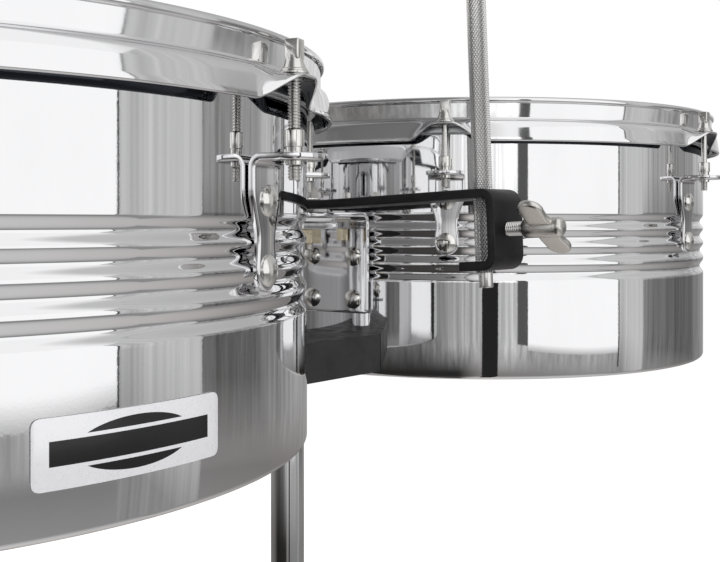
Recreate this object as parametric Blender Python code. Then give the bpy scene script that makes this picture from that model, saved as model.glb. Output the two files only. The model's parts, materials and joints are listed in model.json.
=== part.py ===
"""A pair of chrome timbales on a folding tripod stand, with a cowbell arm and its knurled rod.

Metres, +Z up, +Y towards the player. Heights named *_Z are above the bottom edge of the drum shells
while the upper works are made; the whole stand is then set down with its feet on the floor.
"""

import math

import bmesh
import bpy
from mathutils import Matrix, Vector

MM = 0.001
CLEAR = 0.3 * MM  # the gap left between two touching pieces

# Drums: a 15 inch and a 14 inch shell either side of the post
BIG_RADIUS = 190.5 * MM
SMALL_RADIUS = 177.8 * MM
DRUM_GAP = 50.2 * MM  # from the post's axis to either shell
SPLAY = math.radians(5.7)  # both drums sit this far round towards the player
SHELL_BOTTOM = 780.0 * MM  # height of the shells above the floor
SHELL_DEPTH = 160.0 * MM
SMALL_RAISED = 5.5 * MM  # the smaller shell is this much deeper, with its grooves and fittings higher
SHELL_WALL = 1.6 * MM
GROOVE_HEIGHTS = [60.2 * MM, 71.3 * MM, 82.0 * MM, 92.1 * MM]
GROOVE_DEPTH = 2.6 * MM
GROOVE_HALF = 5.2 * MM

# Hoops: a collar over the head, a shoulder and a flared skirt with an ear at each bolt
HOOP_TOP_Z = 168.5 * MM
HOOP_SHOULDER_Z = 153.2 * MM
HOOP_SKIRT_Z = 141.0 * MM
HOOP_WALL = 1.6 * MM
HOOP_SEGMENTS = 40
FLESH_HOOP_Z = (146.2 * MM, 151.2 * MM)  # the head's own ring, under the shoulder
EAR_Z = 150.3 * MM
EAR_THICK = 2.0 * MM
EAR_REACH = 20.5 * MM  # from the shell's surface to the ear's tip
EAR_HALF = 11.5 * MM
EAR_HOLE = 3.2 * MM
EAR_POCKET = 6.4 * MM  # the skirt is open this far about each bolt's flange

# Lugs and tension bolts
BIG_LUGS = 8
SMALL_LUGS = 6
BIG_FIRST_LUG = -72.3
SMALL_FIRST_LUG = 30.0
BOLT_CIRCLE = 13.7 * MM  # outside the shell's surface
BOLT_RADIUS = 2.4 * MM
BOLT_END_Z = 113.0 * MM
BOLT_FLANGE = 5.8 * MM
BOLT_HEAD_Z = 165.6 * MM
BOLT_HEAD_SIDE = 6.5 * MM
LUG_SHEET = 2.8 * MM
LUG_BOTTOM_Z = 71.4 * MM
LUG_TOP_Z = 125.4 * MM
LUG_HALF = 11.4 * MM
LUG_NECK = 6.9 * MM
LUG_FOOT = 7.4 * MM
RIVET_HEIGHTS = [78.6 * MM, 105.5 * MM]
RIVET_RADIUS = 6.2 * MM
BARREL_RADIUS = 4.0 * MM
BARREL_BORE = 2.8 * MM

# Bracket between the drums, from the bottom up
POST_RADIUS = 10.0 * MM
PLATE_BOTTOM_Z = 93.2 * MM
PLATE_THICK = 4.0 * MM
PLATE_HALF = 26.5 * MM
PLATE_REACH = 18.0 * MM
SHEET = 2.8 * MM
BIG_FLANGE_Z = PLATE_BOTTOM_Z + PLATE_THICK + CLEAR
SMALL_FLANGE_Z = BIG_FLANGE_Z + SHEET + CLEAR
BRACKET_FOOT_Z = 39.6 * MM
BIG_FLANGE_REACH = 15.7 * MM  # past the post's axis
SMALL_FLANGE_REACH = 14.0 * MM
BEND = 6.0 * MM
SCREW_ACROSS = 16.0 * MM
SCREW_HEIGHTS = [48.5 * MM, 75.5 * MM]
SCREW_RADIUS = 6.2 * MM
CLAMP_Y = 17.0 * MM
CLAMP_RADIUS = 3.0 * MM
CLAMP_HOLE = 3.4 * MM
BRASS_NUT_Z = 84.8 * MM
BLOCK_Z = (3.4 * MM, 27.0 * MM)
BLOCK_HALF = 27.4 * MM

# Cowbell arm: flat bar clamped level over the bracket, then rising a little to its C-shaped end
ARM_Z = 105.2 * MM
ARM_THICK = 4.8 * MM
ARM_HALF = 14.2 * MM
ARM_BACK = 33.0 * MM
ARM_KNEE = -38.0 * MM
ARM_RISE = math.radians(2.4)
ARM_LENGTH = 116.5 * MM  # from the knee to the outer face of the C
ARM_DROP = 42.0 * MM
ARM_LIP = 22.6 * MM
ARM_BEND = 8.0 * MM
ROD_RADIUS = 5.2 * MM
ROD_HOLE = 5.6 * MM
ROD_FROM_FACE = 15.0 * MM
ROD_TOP_Z = 345.0 * MM
ROD_TIP = 9.0 * MM  # how far the plain tip hangs below the C
ROD_TIP_RADIUS = 3.7 * MM
WING_RADIUS = 22.8 * MM
WING_TURN = 57.0
WING_SCREW = 3.9 * MM
WING_HUB = 5.2 * MM
WING_REACH = 31.5 * MM

# Badge: a plain curved plate on the big drum
BADGE_ANGLE = -92.4
BADGE_WIDTH = 73.5 * MM
BADGE_Z = (15.8 * MM, 38.5 * MM)
BADGE_THICK = 0.6 * MM

# Stand, heights above the floor
BASE_RADIUS = 12.7 * MM
BASE_BORE = 11.2 * MM
BASE_BOTTOM = 45.0 * MM
BASE_TOP = 533.0 * MM
POST_BOTTOM = 360.0 * MM
LEG_ANGLES = [90.0, 210.0, 330.0]
LEG_LEAN = math.radians(45.0)
PIVOT_OUT = 27.0 * MM  # leg and brace pivots, from the tube's axis
HUB_Z = 72.0 * MM
BRACE_SPAN = 200.0 * MM  # pivot to pivot, and down the leg to where it meets the brace
COLLAR_Z = HUB_Z + 2.0 * BRACE_SPAN * math.cos(LEG_LEAN)
LEG_RADIUS = 8.0 * MM
LEG_BORE = 6.6 * MM
FOOT_RADIUS = 12.5 * MM
FOOT_FLAT = 0.9 * MM  # worn flat where it meets the floor
BRACE_THICK = 3.0 * MM
BRACE_HALF = 7.0 * MM
CLAMP_COLLAR_Z = (505.0 * MM, 552.0 * MM)
BOSS_RADIUS = 7.2 * MM  # the boss on either collar that takes a wing bolt
BOSS_LENGTH = 11.0 * MM
BOSS_HOLE = 3.3 * MM
BOSS_SCREW = 3.0 * MM
EAR_SLOT = 5.2 * MM  # half the gap between a pair of pivot ears
EAR_WIDE = 2.6 * MM


# Scene and materials

for leftover in list(bpy.data.objects):
    bpy.data.objects.remove(leftover, do_unlink=True)


def material(name, colour, metallic, roughness):
    made = bpy.data.materials.new(name)
    made.use_nodes = True
    shader = made.node_tree.nodes["Principled BSDF"]
    shader.inputs["Base Color"].default_value = (*colour, 1.0)
    shader.inputs["Metallic"].default_value = metallic
    shader.inputs["Roughness"].default_value = roughness
    return made


CHROME = material("chrome", (0.80, 0.80, 0.81), 1.0, 0.06)
NICKEL = material("nickel", (0.78, 0.76, 0.71), 1.0, 0.18)
BLACK_COAT = material("black_coat", (0.015, 0.015, 0.016), 0.0, 0.40)
BLACK_PLASTIC = material("black_plastic", (0.02, 0.02, 0.022), 0.0, 0.62)
HEAD_FILM = material("head_film", (0.86, 0.85, 0.80), 0.0, 0.45)
BADGE_FACE = material("badge_face", (0.80, 0.81, 0.82), 0.6, 0.30)
RUBBER = material("rubber", (0.02, 0.02, 0.02), 0.0, 0.85)


# Shape tools

def mesh_from(shape):
    bmesh.ops.recalc_face_normals(shape, faces=shape.faces)
    mesh = bpy.data.meshes.new("shape")
    shape.to_mesh(mesh)
    shape.free()
    return mesh


def turned(outline, segments=32):
    """Spin a closed outline of (radius, height) points about Z."""
    shape = bmesh.new()
    points = [shape.verts.new((radius, 0.0, height)) for radius, height in outline]
    edges = []
    for first, second in zip(points, points[1:] + points[:1]):
        if first.co.x > 0.0 or second.co.x > 0.0:
            edges.append(shape.edges.new((first, second)))
    bmesh.ops.spin(shape, geom=points + edges, cent=(0, 0, 0), axis=(0, 0, 1),
                   angle=2.0 * math.pi, steps=segments, use_merge=True)
    bmesh.ops.remove_doubles(shape, verts=shape.verts, dist=1e-7)
    return mesh_from(shape)


def extruded(outline, thickness):
    """A flat outline of (x, y) points, raised along Z."""
    shape = bmesh.new()
    face = shape.faces.new([shape.verts.new((x, y, 0.0)) for x, y in outline])
    raised = bmesh.ops.extrude_face_region(shape, geom=[face])["geom"]
    tops = [item for item in raised if isinstance(item, bmesh.types.BMVert)]
    bmesh.ops.translate(shape, verts=tops, vec=(0.0, 0.0, thickness))
    return mesh_from(shape)


def cylinder(radius, low, high, segments=24):
    return turned([(0.0, low), (0.0, high), (radius, high), (radius, low)], segments)


def arc(centre, radius, start, end, steps=6):
    """Points of an arc in degrees, both ends included."""
    turns = [math.radians(start + (end - start) * i / steps) for i in range(steps + 1)]
    return [(centre[0] + radius * math.cos(t), centre[1] + radius * math.sin(t)) for t in turns]


def bar_outline(path, thickness):
    """Both sides of a bent flat bar whose one face follows the path, seen edge on."""
    normals = []
    for here in range(len(path)):
        before = Vector(path[max(here - 1, 0)])
        after = Vector(path[min(here + 1, len(path) - 1)])
        along = (after - before).normalized()
        normals.append(Vector((-along.y, along.x)))
    inner = [tuple(Vector(point) + normal * thickness) for point, normal in zip(path, normals)]
    return list(path) + inner[::-1]


def moved(mesh, matrix):
    mesh.transform(matrix)
    return mesh


def combined(base, others, operation="UNION"):
    """Join the meshes, or cut the others out of the base, with exact Booleans."""
    scene = bpy.context.scene.collection.objects
    body = bpy.data.objects.new("body", base)
    scene.link(body)
    tools = []
    for other in others:
        tool = bpy.data.objects.new("tool", other)
        scene.link(tool)
        tools.append(tool)
        step = body.modifiers.new("join", "BOOLEAN")
        step.operation = operation
        step.object = tool
    bpy.context.view_layer.update()
    graph = bpy.context.evaluated_depsgraph_get()
    result = bpy.data.meshes.new_from_object(body.evaluated_get(graph))
    for helper in [body, *tools]:
        bpy.data.objects.remove(helper, do_unlink=True)
    return result


def placed(name, mesh, finish, place=(0.0, 0.0, 0.0), turn=(0.0, 0.0, 0.0), parent=None):
    mesh.materials.clear()
    mesh.materials.append(finish)
    mesh.shade_smooth()
    mesh.set_sharp_from_angle(angle=math.radians(35.0))
    piece = bpy.data.objects.new(name, mesh)
    bpy.context.scene.collection.objects.link(piece)
    piece.location = place
    piece.rotation_euler = turn
    piece.parent = parent
    return piece


def marker(name, place, turn=(0.0, 0.0, 0.0), parent=None):
    """An empty that pieces hang from."""
    empty = bpy.data.objects.new(name, None)
    bpy.context.scene.collection.objects.link(empty)
    empty.location = place
    empty.rotation_euler = turn
    empty.parent = parent
    return empty


def on_x(angle, reach=0.0):
    """Turn a shape that is built outwards along +X to this angle about Z."""
    return Matrix.Rotation(angle, 4, "Z") @ Matrix.Translation((reach, 0.0, 0.0))


# Stand on the floor; everything that rides on the post hangs from "upper"

stand = marker("stand", (0.0, 0.0, 0.0))
upper = marker("upper", (0.0, 0.0, SHELL_BOTTOM), parent=stand)


# Drum pieces, each made for one radius about the drum's own axis

def shell_mesh(radius, raised):
    outer = [(radius, 0.0), (radius, GROOVE_HEIGHTS[0] - GROOVE_HALF + raised)]
    for height in GROOVE_HEIGHTS:
        outer.append((radius - GROOVE_DEPTH, height + raised))
        outer.append((radius, height + GROOVE_HALF + raised))
    outer.append((radius, SHELL_DEPTH + raised))
    inner = [(r - SHELL_WALL, z) for r, z in outer]
    return turned(outer + inner[::-1])


def head_mesh(radius):
    film_z = SHELL_DEPTH + CLEAR
    film = 0.6 * MM
    inside = radius + 0.4 * MM
    ring = FLESH_HOOP_Z
    outline = [
        (0.0, film_z + film),
        (inside + film, film_z + film),
        (inside + film, ring[1]),
        (inside + 3.9 * MM, ring[1]),
        (inside + 3.9 * MM, ring[0]),
        (inside, ring[0]),
        (inside, film_z),
        (0.0, film_z),
    ]
    return turned(outline)


def ear_outline(radius):
    """From under the skirt out to a round tip about the bolt's hole."""
    tip = EAR_REACH - BOLT_CIRCLE
    root = radius + 7.4 * MM
    side = math.sqrt(root ** 2 - EAR_HALF ** 2)
    return [(side, -EAR_HALF), *arc((radius + BOLT_CIRCLE, 0.0), tip, -70, 70, 5), (side, EAR_HALF)]


def lug_angles(count, first):
    return [math.radians(first + 360.0 / count * k) for k in range(count)]


def hoop_mesh(radius, angles):
    collar = radius + 4.5 * MM
    outline = [
        (collar, HOOP_TOP_Z),
        (collar + 3.2 * MM, HOOP_TOP_Z),
        (collar + HOOP_WALL, HOOP_TOP_Z - 3.2 * MM),
        (collar + HOOP_WALL, HOOP_SHOULDER_Z + 1.8 * MM),
        (radius + 8.8 * MM, HOOP_SHOULDER_Z - 0.4 * MM),
        (radius + 11.4 * MM, HOOP_SKIRT_Z),
        (radius + 11.4 * MM - HOOP_WALL, HOOP_SKIRT_Z),
        (radius + 8.8 * MM - HOOP_WALL, HOOP_SHOULDER_Z - 1.9 * MM),
        (collar, HOOP_SHOULDER_Z + 0.4 * MM),
    ]
    ring = turned(outline, HOOP_SEGMENTS)
    ears = [moved(extruded(ear_outline(radius), EAR_THICK),
                  on_x(angle) @ Matrix.Translation((0.0, 0.0, EAR_Z))) for angle in angles]
    cutters = []
    for angle in angles:
        at_bolt = on_x(angle, radius + BOLT_CIRCLE)
        cutters.append(moved(cylinder(EAR_HOLE, HOOP_SKIRT_Z - 5.0 * MM, EAR_Z + 5.0 * MM, 10), at_bolt))
        pocket = cylinder(EAR_POCKET, EAR_Z + EAR_THICK + 0.1 * MM, HOOP_TOP_Z + 7.0 * MM, 12)
        cutters.append(moved(pocket, at_bolt))
    return combined(combined(ring, ears), cutters, "DIFFERENCE")


def dome(radius, height, segments=8):
    """A low rivet or screw head, its foot a little below Z = 0."""
    foot = -0.6 * MM
    return turned([(0.0, height), (radius * 0.72, height * 0.72), (radius, foot), (0.0, foot)], segments)


def lug_mesh(radius):
    """Bent sheet with a vertical plate, a tongue, two rivets and the barrel nut in the tongue."""
    face = radius + CLEAR
    sides = [(LUG_HALF, LUG_TOP_Z), (-LUG_HALF, LUG_TOP_Z), (-LUG_HALF, 113.0 * MM),
             (-LUG_NECK, 92.0 * MM), (-LUG_FOOT, LUG_BOTTOM_Z + LUG_FOOT)]
    foot = arc((0.0, LUG_BOTTOM_Z + LUG_FOOT), LUG_FOOT, 205, 335, 4)
    rest = [(LUG_FOOT, LUG_BOTTOM_Z + LUG_FOOT), (LUG_NECK, 92.0 * MM), (LUG_HALF, 113.0 * MM)]
    upright = extruded(sides + foot + rest, LUG_SHEET)
    stand_up = Matrix(((0, 0, 1, face), (1, 0, 0, 0), (0, 1, 0, 0), (0, 0, 0, 1)))
    moved(upright, stand_up)
    tongue_end = arc((radius + BOLT_CIRCLE, 0.0), LUG_HALF, -90, 90, 6)
    tongue = extruded([(face, LUG_HALF), (face, -LUG_HALF), *tongue_end], LUG_SHEET)
    moved(tongue, Matrix.Translation((0.0, 0.0, LUG_TOP_Z - LUG_SHEET)))
    pieces = [tongue]
    for height in RIVET_HEIGHTS:
        head = dome(RIVET_RADIUS, 3.4 * MM)
        pieces.append(moved(head, Matrix.Translation((face + LUG_SHEET, 0.0, height))
                            @ Matrix.Rotation(math.pi / 2, 4, "Y")))
    barrel = cylinder(BARREL_RADIUS, 118.0 * MM, 131.9 * MM, 8)
    pieces.append(moved(barrel, Matrix.Translation((radius + BOLT_CIRCLE, 0.0, 0.0))))
    bore = moved(cylinder(BARREL_BORE, 110.0 * MM, 140.0 * MM, 8),
                 Matrix.Translation((radius + BOLT_CIRCLE, 0.0, 0.0)))
    return combined(combined(upright, pieces), [bore], "DIFFERENCE")


def bolt_mesh():
    """Tension bolt about its own axis: threaded rod, flange, flared neck and square head."""
    flange_z = EAR_Z + EAR_THICK + CLEAR
    turned_part = turned([
        (0.0, BOLT_END_Z),
        (BOLT_RADIUS, BOLT_END_Z),
        (BOLT_RADIUS, flange_z),
        (BOLT_FLANGE, flange_z),
        (BOLT_FLANGE, flange_z + 1.2 * MM),
        (3.4 * MM, flange_z + 5.4 * MM),
        (0.0, flange_z + 5.4 * MM),
    ][::-1], 10)
    half = BOLT_HEAD_SIDE / 2.0
    square = extruded([(-half, -half), (half, -half), (half, half), (-half, half)],
                      BOLT_HEAD_Z - flange_z - 3.0 * MM)
    moved(square, Matrix.Translation((0.0, 0.0, flange_z + 3.0 * MM)))
    return combined(turned_part, [square])


def make_drum(side, radius, raised, centre, angles):
    """One drum with its head, hoop, lugs and tension bolts. Returns its centre empty."""
    drum = marker(side + "_drum", centre, parent=upper)
    works = (0.0, 0.0, raised)
    placed(side + "_shell", shell_mesh(radius, raised), CHROME, parent=drum)
    placed(side + "_head", head_mesh(radius), HEAD_FILM, works, parent=drum)
    placed(side + "_hoop", hoop_mesh(radius, angles), CHROME, works, parent=drum)
    lug = lug_mesh(radius)
    bolt = bolt_mesh()
    out = radius + BOLT_CIRCLE
    for number, angle in enumerate(angles, start=1):
        place = (out * math.cos(angle), out * math.sin(angle), raised)
        placed(f"{side}_lug_{number}", lug, CHROME, works, (0.0, 0.0, angle), drum)
        placed(f"{side}_bolt_{number}", bolt, NICKEL, place, (0.0, 0.0, angle), drum)
    return drum


def drum_centre(radius, side):
    out = DRUM_GAP + radius
    return (side * out * math.cos(SPLAY), out * math.sin(SPLAY), 0.0)


BIG_CENTRE = drum_centre(BIG_RADIUS, -1)
SMALL_CENTRE = drum_centre(SMALL_RADIUS, 1)
BIG_ANGLES = lug_angles(BIG_LUGS, BIG_FIRST_LUG)
SMALL_ANGLES = lug_angles(SMALL_LUGS, SMALL_FIRST_LUG)
big_drum = make_drum("big", BIG_RADIUS, 0.0, BIG_CENTRE, BIG_ANGLES)
small_drum = make_drum("small", SMALL_RADIUS, SMALL_RAISED, SMALL_CENTRE, SMALL_ANGLES)


def make_badge():
    """A thin plate with round corners, bent to the big shell."""
    inside = BIG_RADIUS + CLEAR
    half_turn = math.degrees(BADGE_WIDTH / 2.0 / inside)
    front = arc((0.0, 0.0), inside + BADGE_THICK, -half_turn, half_turn, 10)
    back = arc((0.0, 0.0), inside, half_turn, -half_turn, 10)
    bent = moved(extruded(front + back, BADGE_Z[1] - BADGE_Z[0]), Matrix.Translation((0, 0, BADGE_Z[0])))
    placed("badge", bent, BADGE_FACE, turn=(0.0, 0.0, math.radians(BADGE_ANGLE)), parent=big_drum)


make_badge()


# Bracket: a bent plate on each shell, both clamped on the post's top plate

def bracket_mesh(flange_z, reach):
    """Built with the drum towards +X: a leg against the shell and a flange over the post."""
    leg = DRUM_GAP - CLEAR
    top = flange_z + SHEET
    path = [(-reach, top), *arc((leg - BEND, top - BEND), BEND, 90, 0, 5), (leg, BRACKET_FOOT_Z)]
    plate = extruded(bar_outline(path, -SHEET), 2.0 * PLATE_HALF)
    upright = Matrix(((1, 0, 0, 0), (0, 0, 1, -PLATE_HALF), (0, 1, 0, 0), (0, 0, 0, 1)))
    moved(plate, upright)
    screws = []
    for across in (-SCREW_ACROSS, SCREW_ACROSS):
        for height in SCREW_HEIGHTS:
            head = dome(SCREW_RADIUS, 3.6 * MM)
            screws.append(moved(head, Matrix.Translation((leg - SHEET, across, height))
                                @ Matrix.Rotation(-math.pi / 2, 4, "Y")))
    return combined(plate, screws)


def clamp_holes(low, high):
    """Cutters for the two clamp bolts."""
    return [moved(cylinder(CLAMP_HOLE, low, high, 16), Matrix.Translation((0.0, y, 0.0)))
            for y in (-CLAMP_Y, CLAMP_Y)]


def make_bracket(name, flange_z, reach, side):
    """The plate points along the line from the post to its drum, so its holes are cut afterwards."""
    turn = SPLAY if side > 0 else math.pi - SPLAY
    plate = moved(bracket_mesh(flange_z, reach), Matrix.Rotation(turn, 4, "Z"))
    cutters = clamp_holes(flange_z - 5.0 * MM, flange_z + 8.0 * MM)
    placed(name, combined(plate, cutters, "DIFFERENCE"), CHROME, parent=upper)


make_bracket("big_mount_plate", BIG_FLANGE_Z, BIG_FLANGE_REACH, -1)
make_bracket("small_mount_plate", SMALL_FLANGE_Z, SMALL_FLANGE_REACH, 1)


def make_top_plate():
    """The thick plate welded on top of the post."""
    corner = 4.0 * MM
    x, y = PLATE_REACH - corner, PLATE_HALF - corner
    outline = [*arc((x, y), corner, 0, 90, 3), *arc((-x, y), corner, 90, 180, 3),
               *arc((-x, -y), corner, 180, 270, 3), *arc((x, -y), corner, 270, 360, 3)]
    plate = moved(extruded(outline, PLATE_THICK), Matrix.Translation((0, 0, PLATE_BOTTOM_Z)))
    cutters = clamp_holes(PLATE_BOTTOM_Z - 5.0 * MM, PLATE_BOTTOM_Z + 9.0 * MM)
    placed("stand_top_plate", combined(plate, cutters, "DIFFERENCE"), CHROME, parent=upper)


make_top_plate()


def hexagon(across, low, high):
    """A hexagonal nut about Z, measured across its flats."""
    corners = arc((0.0, 0.0), across / math.sqrt(3.0), 0, 300, 5)
    return moved(extruded(corners, high - low), Matrix.Translation((0.0, 0.0, low)))


def make_clamp_bolts():
    """Two bolts from above through the arm, both flanges and the top plate, each with its nut below."""
    top = ARM_Z + ARM_THICK + CLEAR
    shank_end = BRASS_NUT_Z - 4.0 * MM
    for end, y in (("front", -CLAMP_Y), ("rear", CLAMP_Y)):
        pieces = [
            hexagon(10.0 * MM, top + 0.8 * MM, top + 7.2 * MM),
            cylinder(9.0 * MM, top, top + 1.2 * MM, 12),
            hexagon(13.4 * MM, BRASS_NUT_Z, PLATE_BOTTOM_Z - CLEAR),
        ]
        shank = cylinder(CLAMP_RADIUS, shank_end, top + 8.4 * MM, 10)
        placed(end + "_clamp_bolt", combined(shank, pieces), NICKEL, (0.0, y, 0.0), parent=upper)


make_clamp_bolts()


def make_spacer_block():
    """Black block low between the shells, its ends hollowed to sit against them."""
    half_x = DRUM_GAP + 6.0 * MM
    corners = [(-half_x, -BLOCK_HALF), (half_x, -BLOCK_HALF), (half_x, BLOCK_HALF), (-half_x, BLOCK_HALF)]
    block = extruded(corners, BLOCK_Z[1] - BLOCK_Z[0])
    moved(block, Matrix.Translation((0.0, 0.0, BLOCK_Z[0])))
    low, high = BLOCK_Z[0] - 5.0 * MM, BLOCK_Z[1] + 5.0 * MM
    cutters = [
        moved(cylinder(BIG_RADIUS + 0.5 * MM, low, high, 96), Matrix.Translation(BIG_CENTRE)),
        moved(cylinder(SMALL_RADIUS + 0.5 * MM, low, high, 96), Matrix.Translation(SMALL_CENTRE)),
        cylinder(POST_RADIUS + CLEAR, low, high, 24),
    ]
    placed("spacer_block", combined(block, cutters, "DIFFERENCE"), BLACK_PLASTIC, parent=upper)


make_spacer_block()


# Cowbell arm, made in the plane X = 0 and pushed out to both sides

def arm_mesh():
    """The bar's outer (upper) face from its back end, over the C and round to its lip."""
    top = ARM_Z + ARM_THICK
    along = Vector((-math.cos(ARM_RISE), math.sin(ARM_RISE)))
    down = Vector((-math.sin(ARM_RISE), -math.cos(ARM_RISE)))
    knee = Vector((ARM_KNEE, top))
    corner_a = knee + along * ARM_LENGTH
    corner_b = corner_a + down * ARM_DROP

    def bend(corner, heading, turn_to):
        start = corner - heading * ARM_BEND
        centre = start + turn_to * ARM_BEND
        return [tuple(centre - turn_to * ARM_BEND * math.cos(t) + heading * ARM_BEND * math.sin(t))
                for t in (math.pi / 2 * i / 6 for i in range(7))]

    path = [(ARM_BACK, top), tuple(knee)]
    path += bend(corner_a, along, down)
    path += bend(corner_b, down, -along)
    path.append(tuple(corner_b - along * ARM_LIP))
    bar = extruded(bar_outline(path, ARM_THICK), 2.0 * ARM_HALF)
    sideways = Matrix(((0, 0, 1, -ARM_HALF), (1, 0, 0, 0), (0, 1, 0, 0), (0, 0, 0, 1)))
    return moved(bar, sideways)


ARM_KNEE_POINT = Vector((0.0, ARM_KNEE, ARM_Z + ARM_THICK))
ARM_ALONG = Vector((0.0, -math.cos(ARM_RISE), math.sin(ARM_RISE)))
ARM_DOWN = Vector((0.0, -math.sin(ARM_RISE), -math.cos(ARM_RISE)))
ROD_TOP_OF_ARM = ARM_KNEE_POINT + ARM_ALONG * (ARM_LENGTH - ROD_FROM_FACE)
WING_START = ARM_KNEE_POINT + ARM_ALONG * ARM_LENGTH + ARM_DOWN * (ARM_DROP / 2.0)
TILT = -ARM_RISE  # the C and what it holds lean back with the rise of the bar


def make_arm():
    rod_hole = moved(cylinder(ROD_HOLE, -80.0 * MM, 40.0 * MM, 24),
                     Matrix.Translation(ROD_TOP_OF_ARM) @ Matrix.Rotation(TILT, 4, "X"))
    screw_hole = moved(cylinder(WING_SCREW + CLEAR, -12.0 * MM, 12.0 * MM, 20),
                       Matrix.Translation(WING_START) @ Matrix.Rotation(TILT + math.pi / 2, 4, "X"))
    cutters = [rod_hole, screw_hole, *clamp_holes(ARM_Z - 6.0 * MM, ARM_Z + 12.0 * MM)]
    bar = combined(arm_mesh(), cutters, "DIFFERENCE")
    placed("cowbell_arm", bar, BLACK_COAT, parent=upper)


make_arm()


def make_rod():
    """Knurled rod about its own axis, with a thinner plain tip below."""
    drop = ARM_DROP + ROD_TIP
    rod = turned([
        (0.0, -drop),
        (ROD_TIP_RADIUS - 0.8 * MM, -drop),
        (ROD_TIP_RADIUS, -drop + 1.0 * MM),
        (ROD_TIP_RADIUS, -ARM_DROP - 1.0 * MM),
        (ROD_RADIUS, -ARM_DROP - 1.0 * MM),
        (ROD_RADIUS, ROD_TOP_Z - ARM_Z - 1.0 * MM),
        (ROD_RADIUS - 1.0 * MM, ROD_TOP_Z - ARM_Z),
        (0.0, ROD_TOP_Z - ARM_Z),
    ][::-1], 24)
    placed("cowbell_rod", rod, NICKEL, ROD_TOP_OF_ARM, (TILT, 0.0, 0.0), upper)


make_rod()


def wing_screw_mesh(screw, hub, tip_radius, length, tip):
    """Wing screw along -Y from Y = 0, its plain screw end reaching back to Y = +tip."""
    lie = Matrix.Rotation(math.pi / 2, 4, "X")  # +Z becomes -Y
    body = turned([
        (0.0, -tip),
        (screw, -tip),
        (screw, length * 0.32),
        (hub, length * 0.38),
        (hub, length - 2.0 * MM),
        (hub - 1.6 * MM, length),
        (0.0, length),
    ][::-1], 18)
    wings = []
    for side in (0.0, math.pi):
        blade = extruded([(0.0, -6.0 * MM), (tip_radius * 0.55, -6.5 * MM),
                          *arc((tip_radius - 6.0 * MM, 1.0 * MM), 6.0 * MM, -60, 100, 6), (0.0, 4.0 * MM)],
                         4.2 * MM)
        middle = length * 0.66
        moved(blade, Matrix.Translation((0.0, 0.0, -2.1 * MM)))
        upright = Matrix(((1, 0, 0, 0), (0, 0, 1, 0), (0, -1, 0, middle), (0, 0, 0, 1)))
        wings.append(moved(blade, Matrix.Rotation(side, 4, "Z") @ upright))
    return moved(combined(body, wings), lie)


def make_rod_wing_bolt():
    """Clamps the rod through the front of the C: its tip stops just short of the rod."""
    tip = ROD_FROM_FACE - ROD_RADIUS - CLEAR
    mesh = wing_screw_mesh(WING_SCREW, WING_HUB, WING_RADIUS, WING_REACH, tip)
    moved(mesh, Matrix.Rotation(math.radians(90.0 - WING_TURN), 4, "Y"))
    placed("rod_wing_bolt", mesh, NICKEL, WING_START, (TILT, 0.0, 0.0), upper)


make_rod_wing_bolt()


# Post and base tube

def tube_mesh(outside, inside, low, high, segments=32):
    return turned([(inside, low), (inside, high), (outside, high), (outside, low)], segments)


def make_tubes():
    post = tube_mesh(POST_RADIUS, POST_RADIUS - 1.8 * MM, POST_BOTTOM - SHELL_BOTTOM, PLATE_BOTTOM_Z - CLEAR)
    placed("post_tube", post, CHROME, parent=upper)
    base = tube_mesh(BASE_RADIUS, BASE_BORE, BASE_BOTTOM, BASE_TOP)
    placed("base_tube", base, CHROME, parent=stand)


make_tubes()


def make_height_clamp():
    """Plastic-lined collar on top of the base tube, with a boss for its wing bolt."""
    low, high = CLAMP_COLLAR_Z
    outside = BASE_RADIUS + 5.0 * MM
    step = BASE_TOP + CLEAR  # the shoulder that rests on the tube's rim
    wing_z = high - 9.0 * MM
    collar = turned([
        (POST_RADIUS + 0.5 * MM, high),
        (outside - 2.0 * MM, high),
        (outside, high - 2.0 * MM),
        (outside, low),
        (BASE_RADIUS + CLEAR, low),
        (BASE_RADIUS + CLEAR, step),
        (POST_RADIUS + 0.5 * MM, step),
    ])
    forwards = Matrix.Translation((0.0, -outside + 2.5 * MM, wing_z)) @ Matrix.Rotation(math.pi / 2, 4, "X")
    boss = moved(cylinder(BOSS_RADIUS, 0.0, BOSS_LENGTH, 14), forwards)
    hole = moved(cylinder(BOSS_HOLE, -8.0 * MM, 20.0 * MM, 10), forwards)
    mesh = combined(combined(collar, [boss]), [hole], "DIFFERENCE")
    placed("height_collar", mesh, BLACK_PLASTIC, parent=stand)
    start = (0.0, -outside - 8.5 * MM - CLEAR, wing_z)
    tip = outside + 8.5 * MM - POST_RADIUS
    wing = wing_screw_mesh(BOSS_SCREW, WING_HUB, 21.0 * MM, 24.0 * MM, tip)
    placed("height_wing_bolt", wing, NICKEL, start, parent=stand)


make_height_clamp()


# Tripod: legs hang from a collar that slides on the base tube, braces rise from a fixed hub

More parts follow.
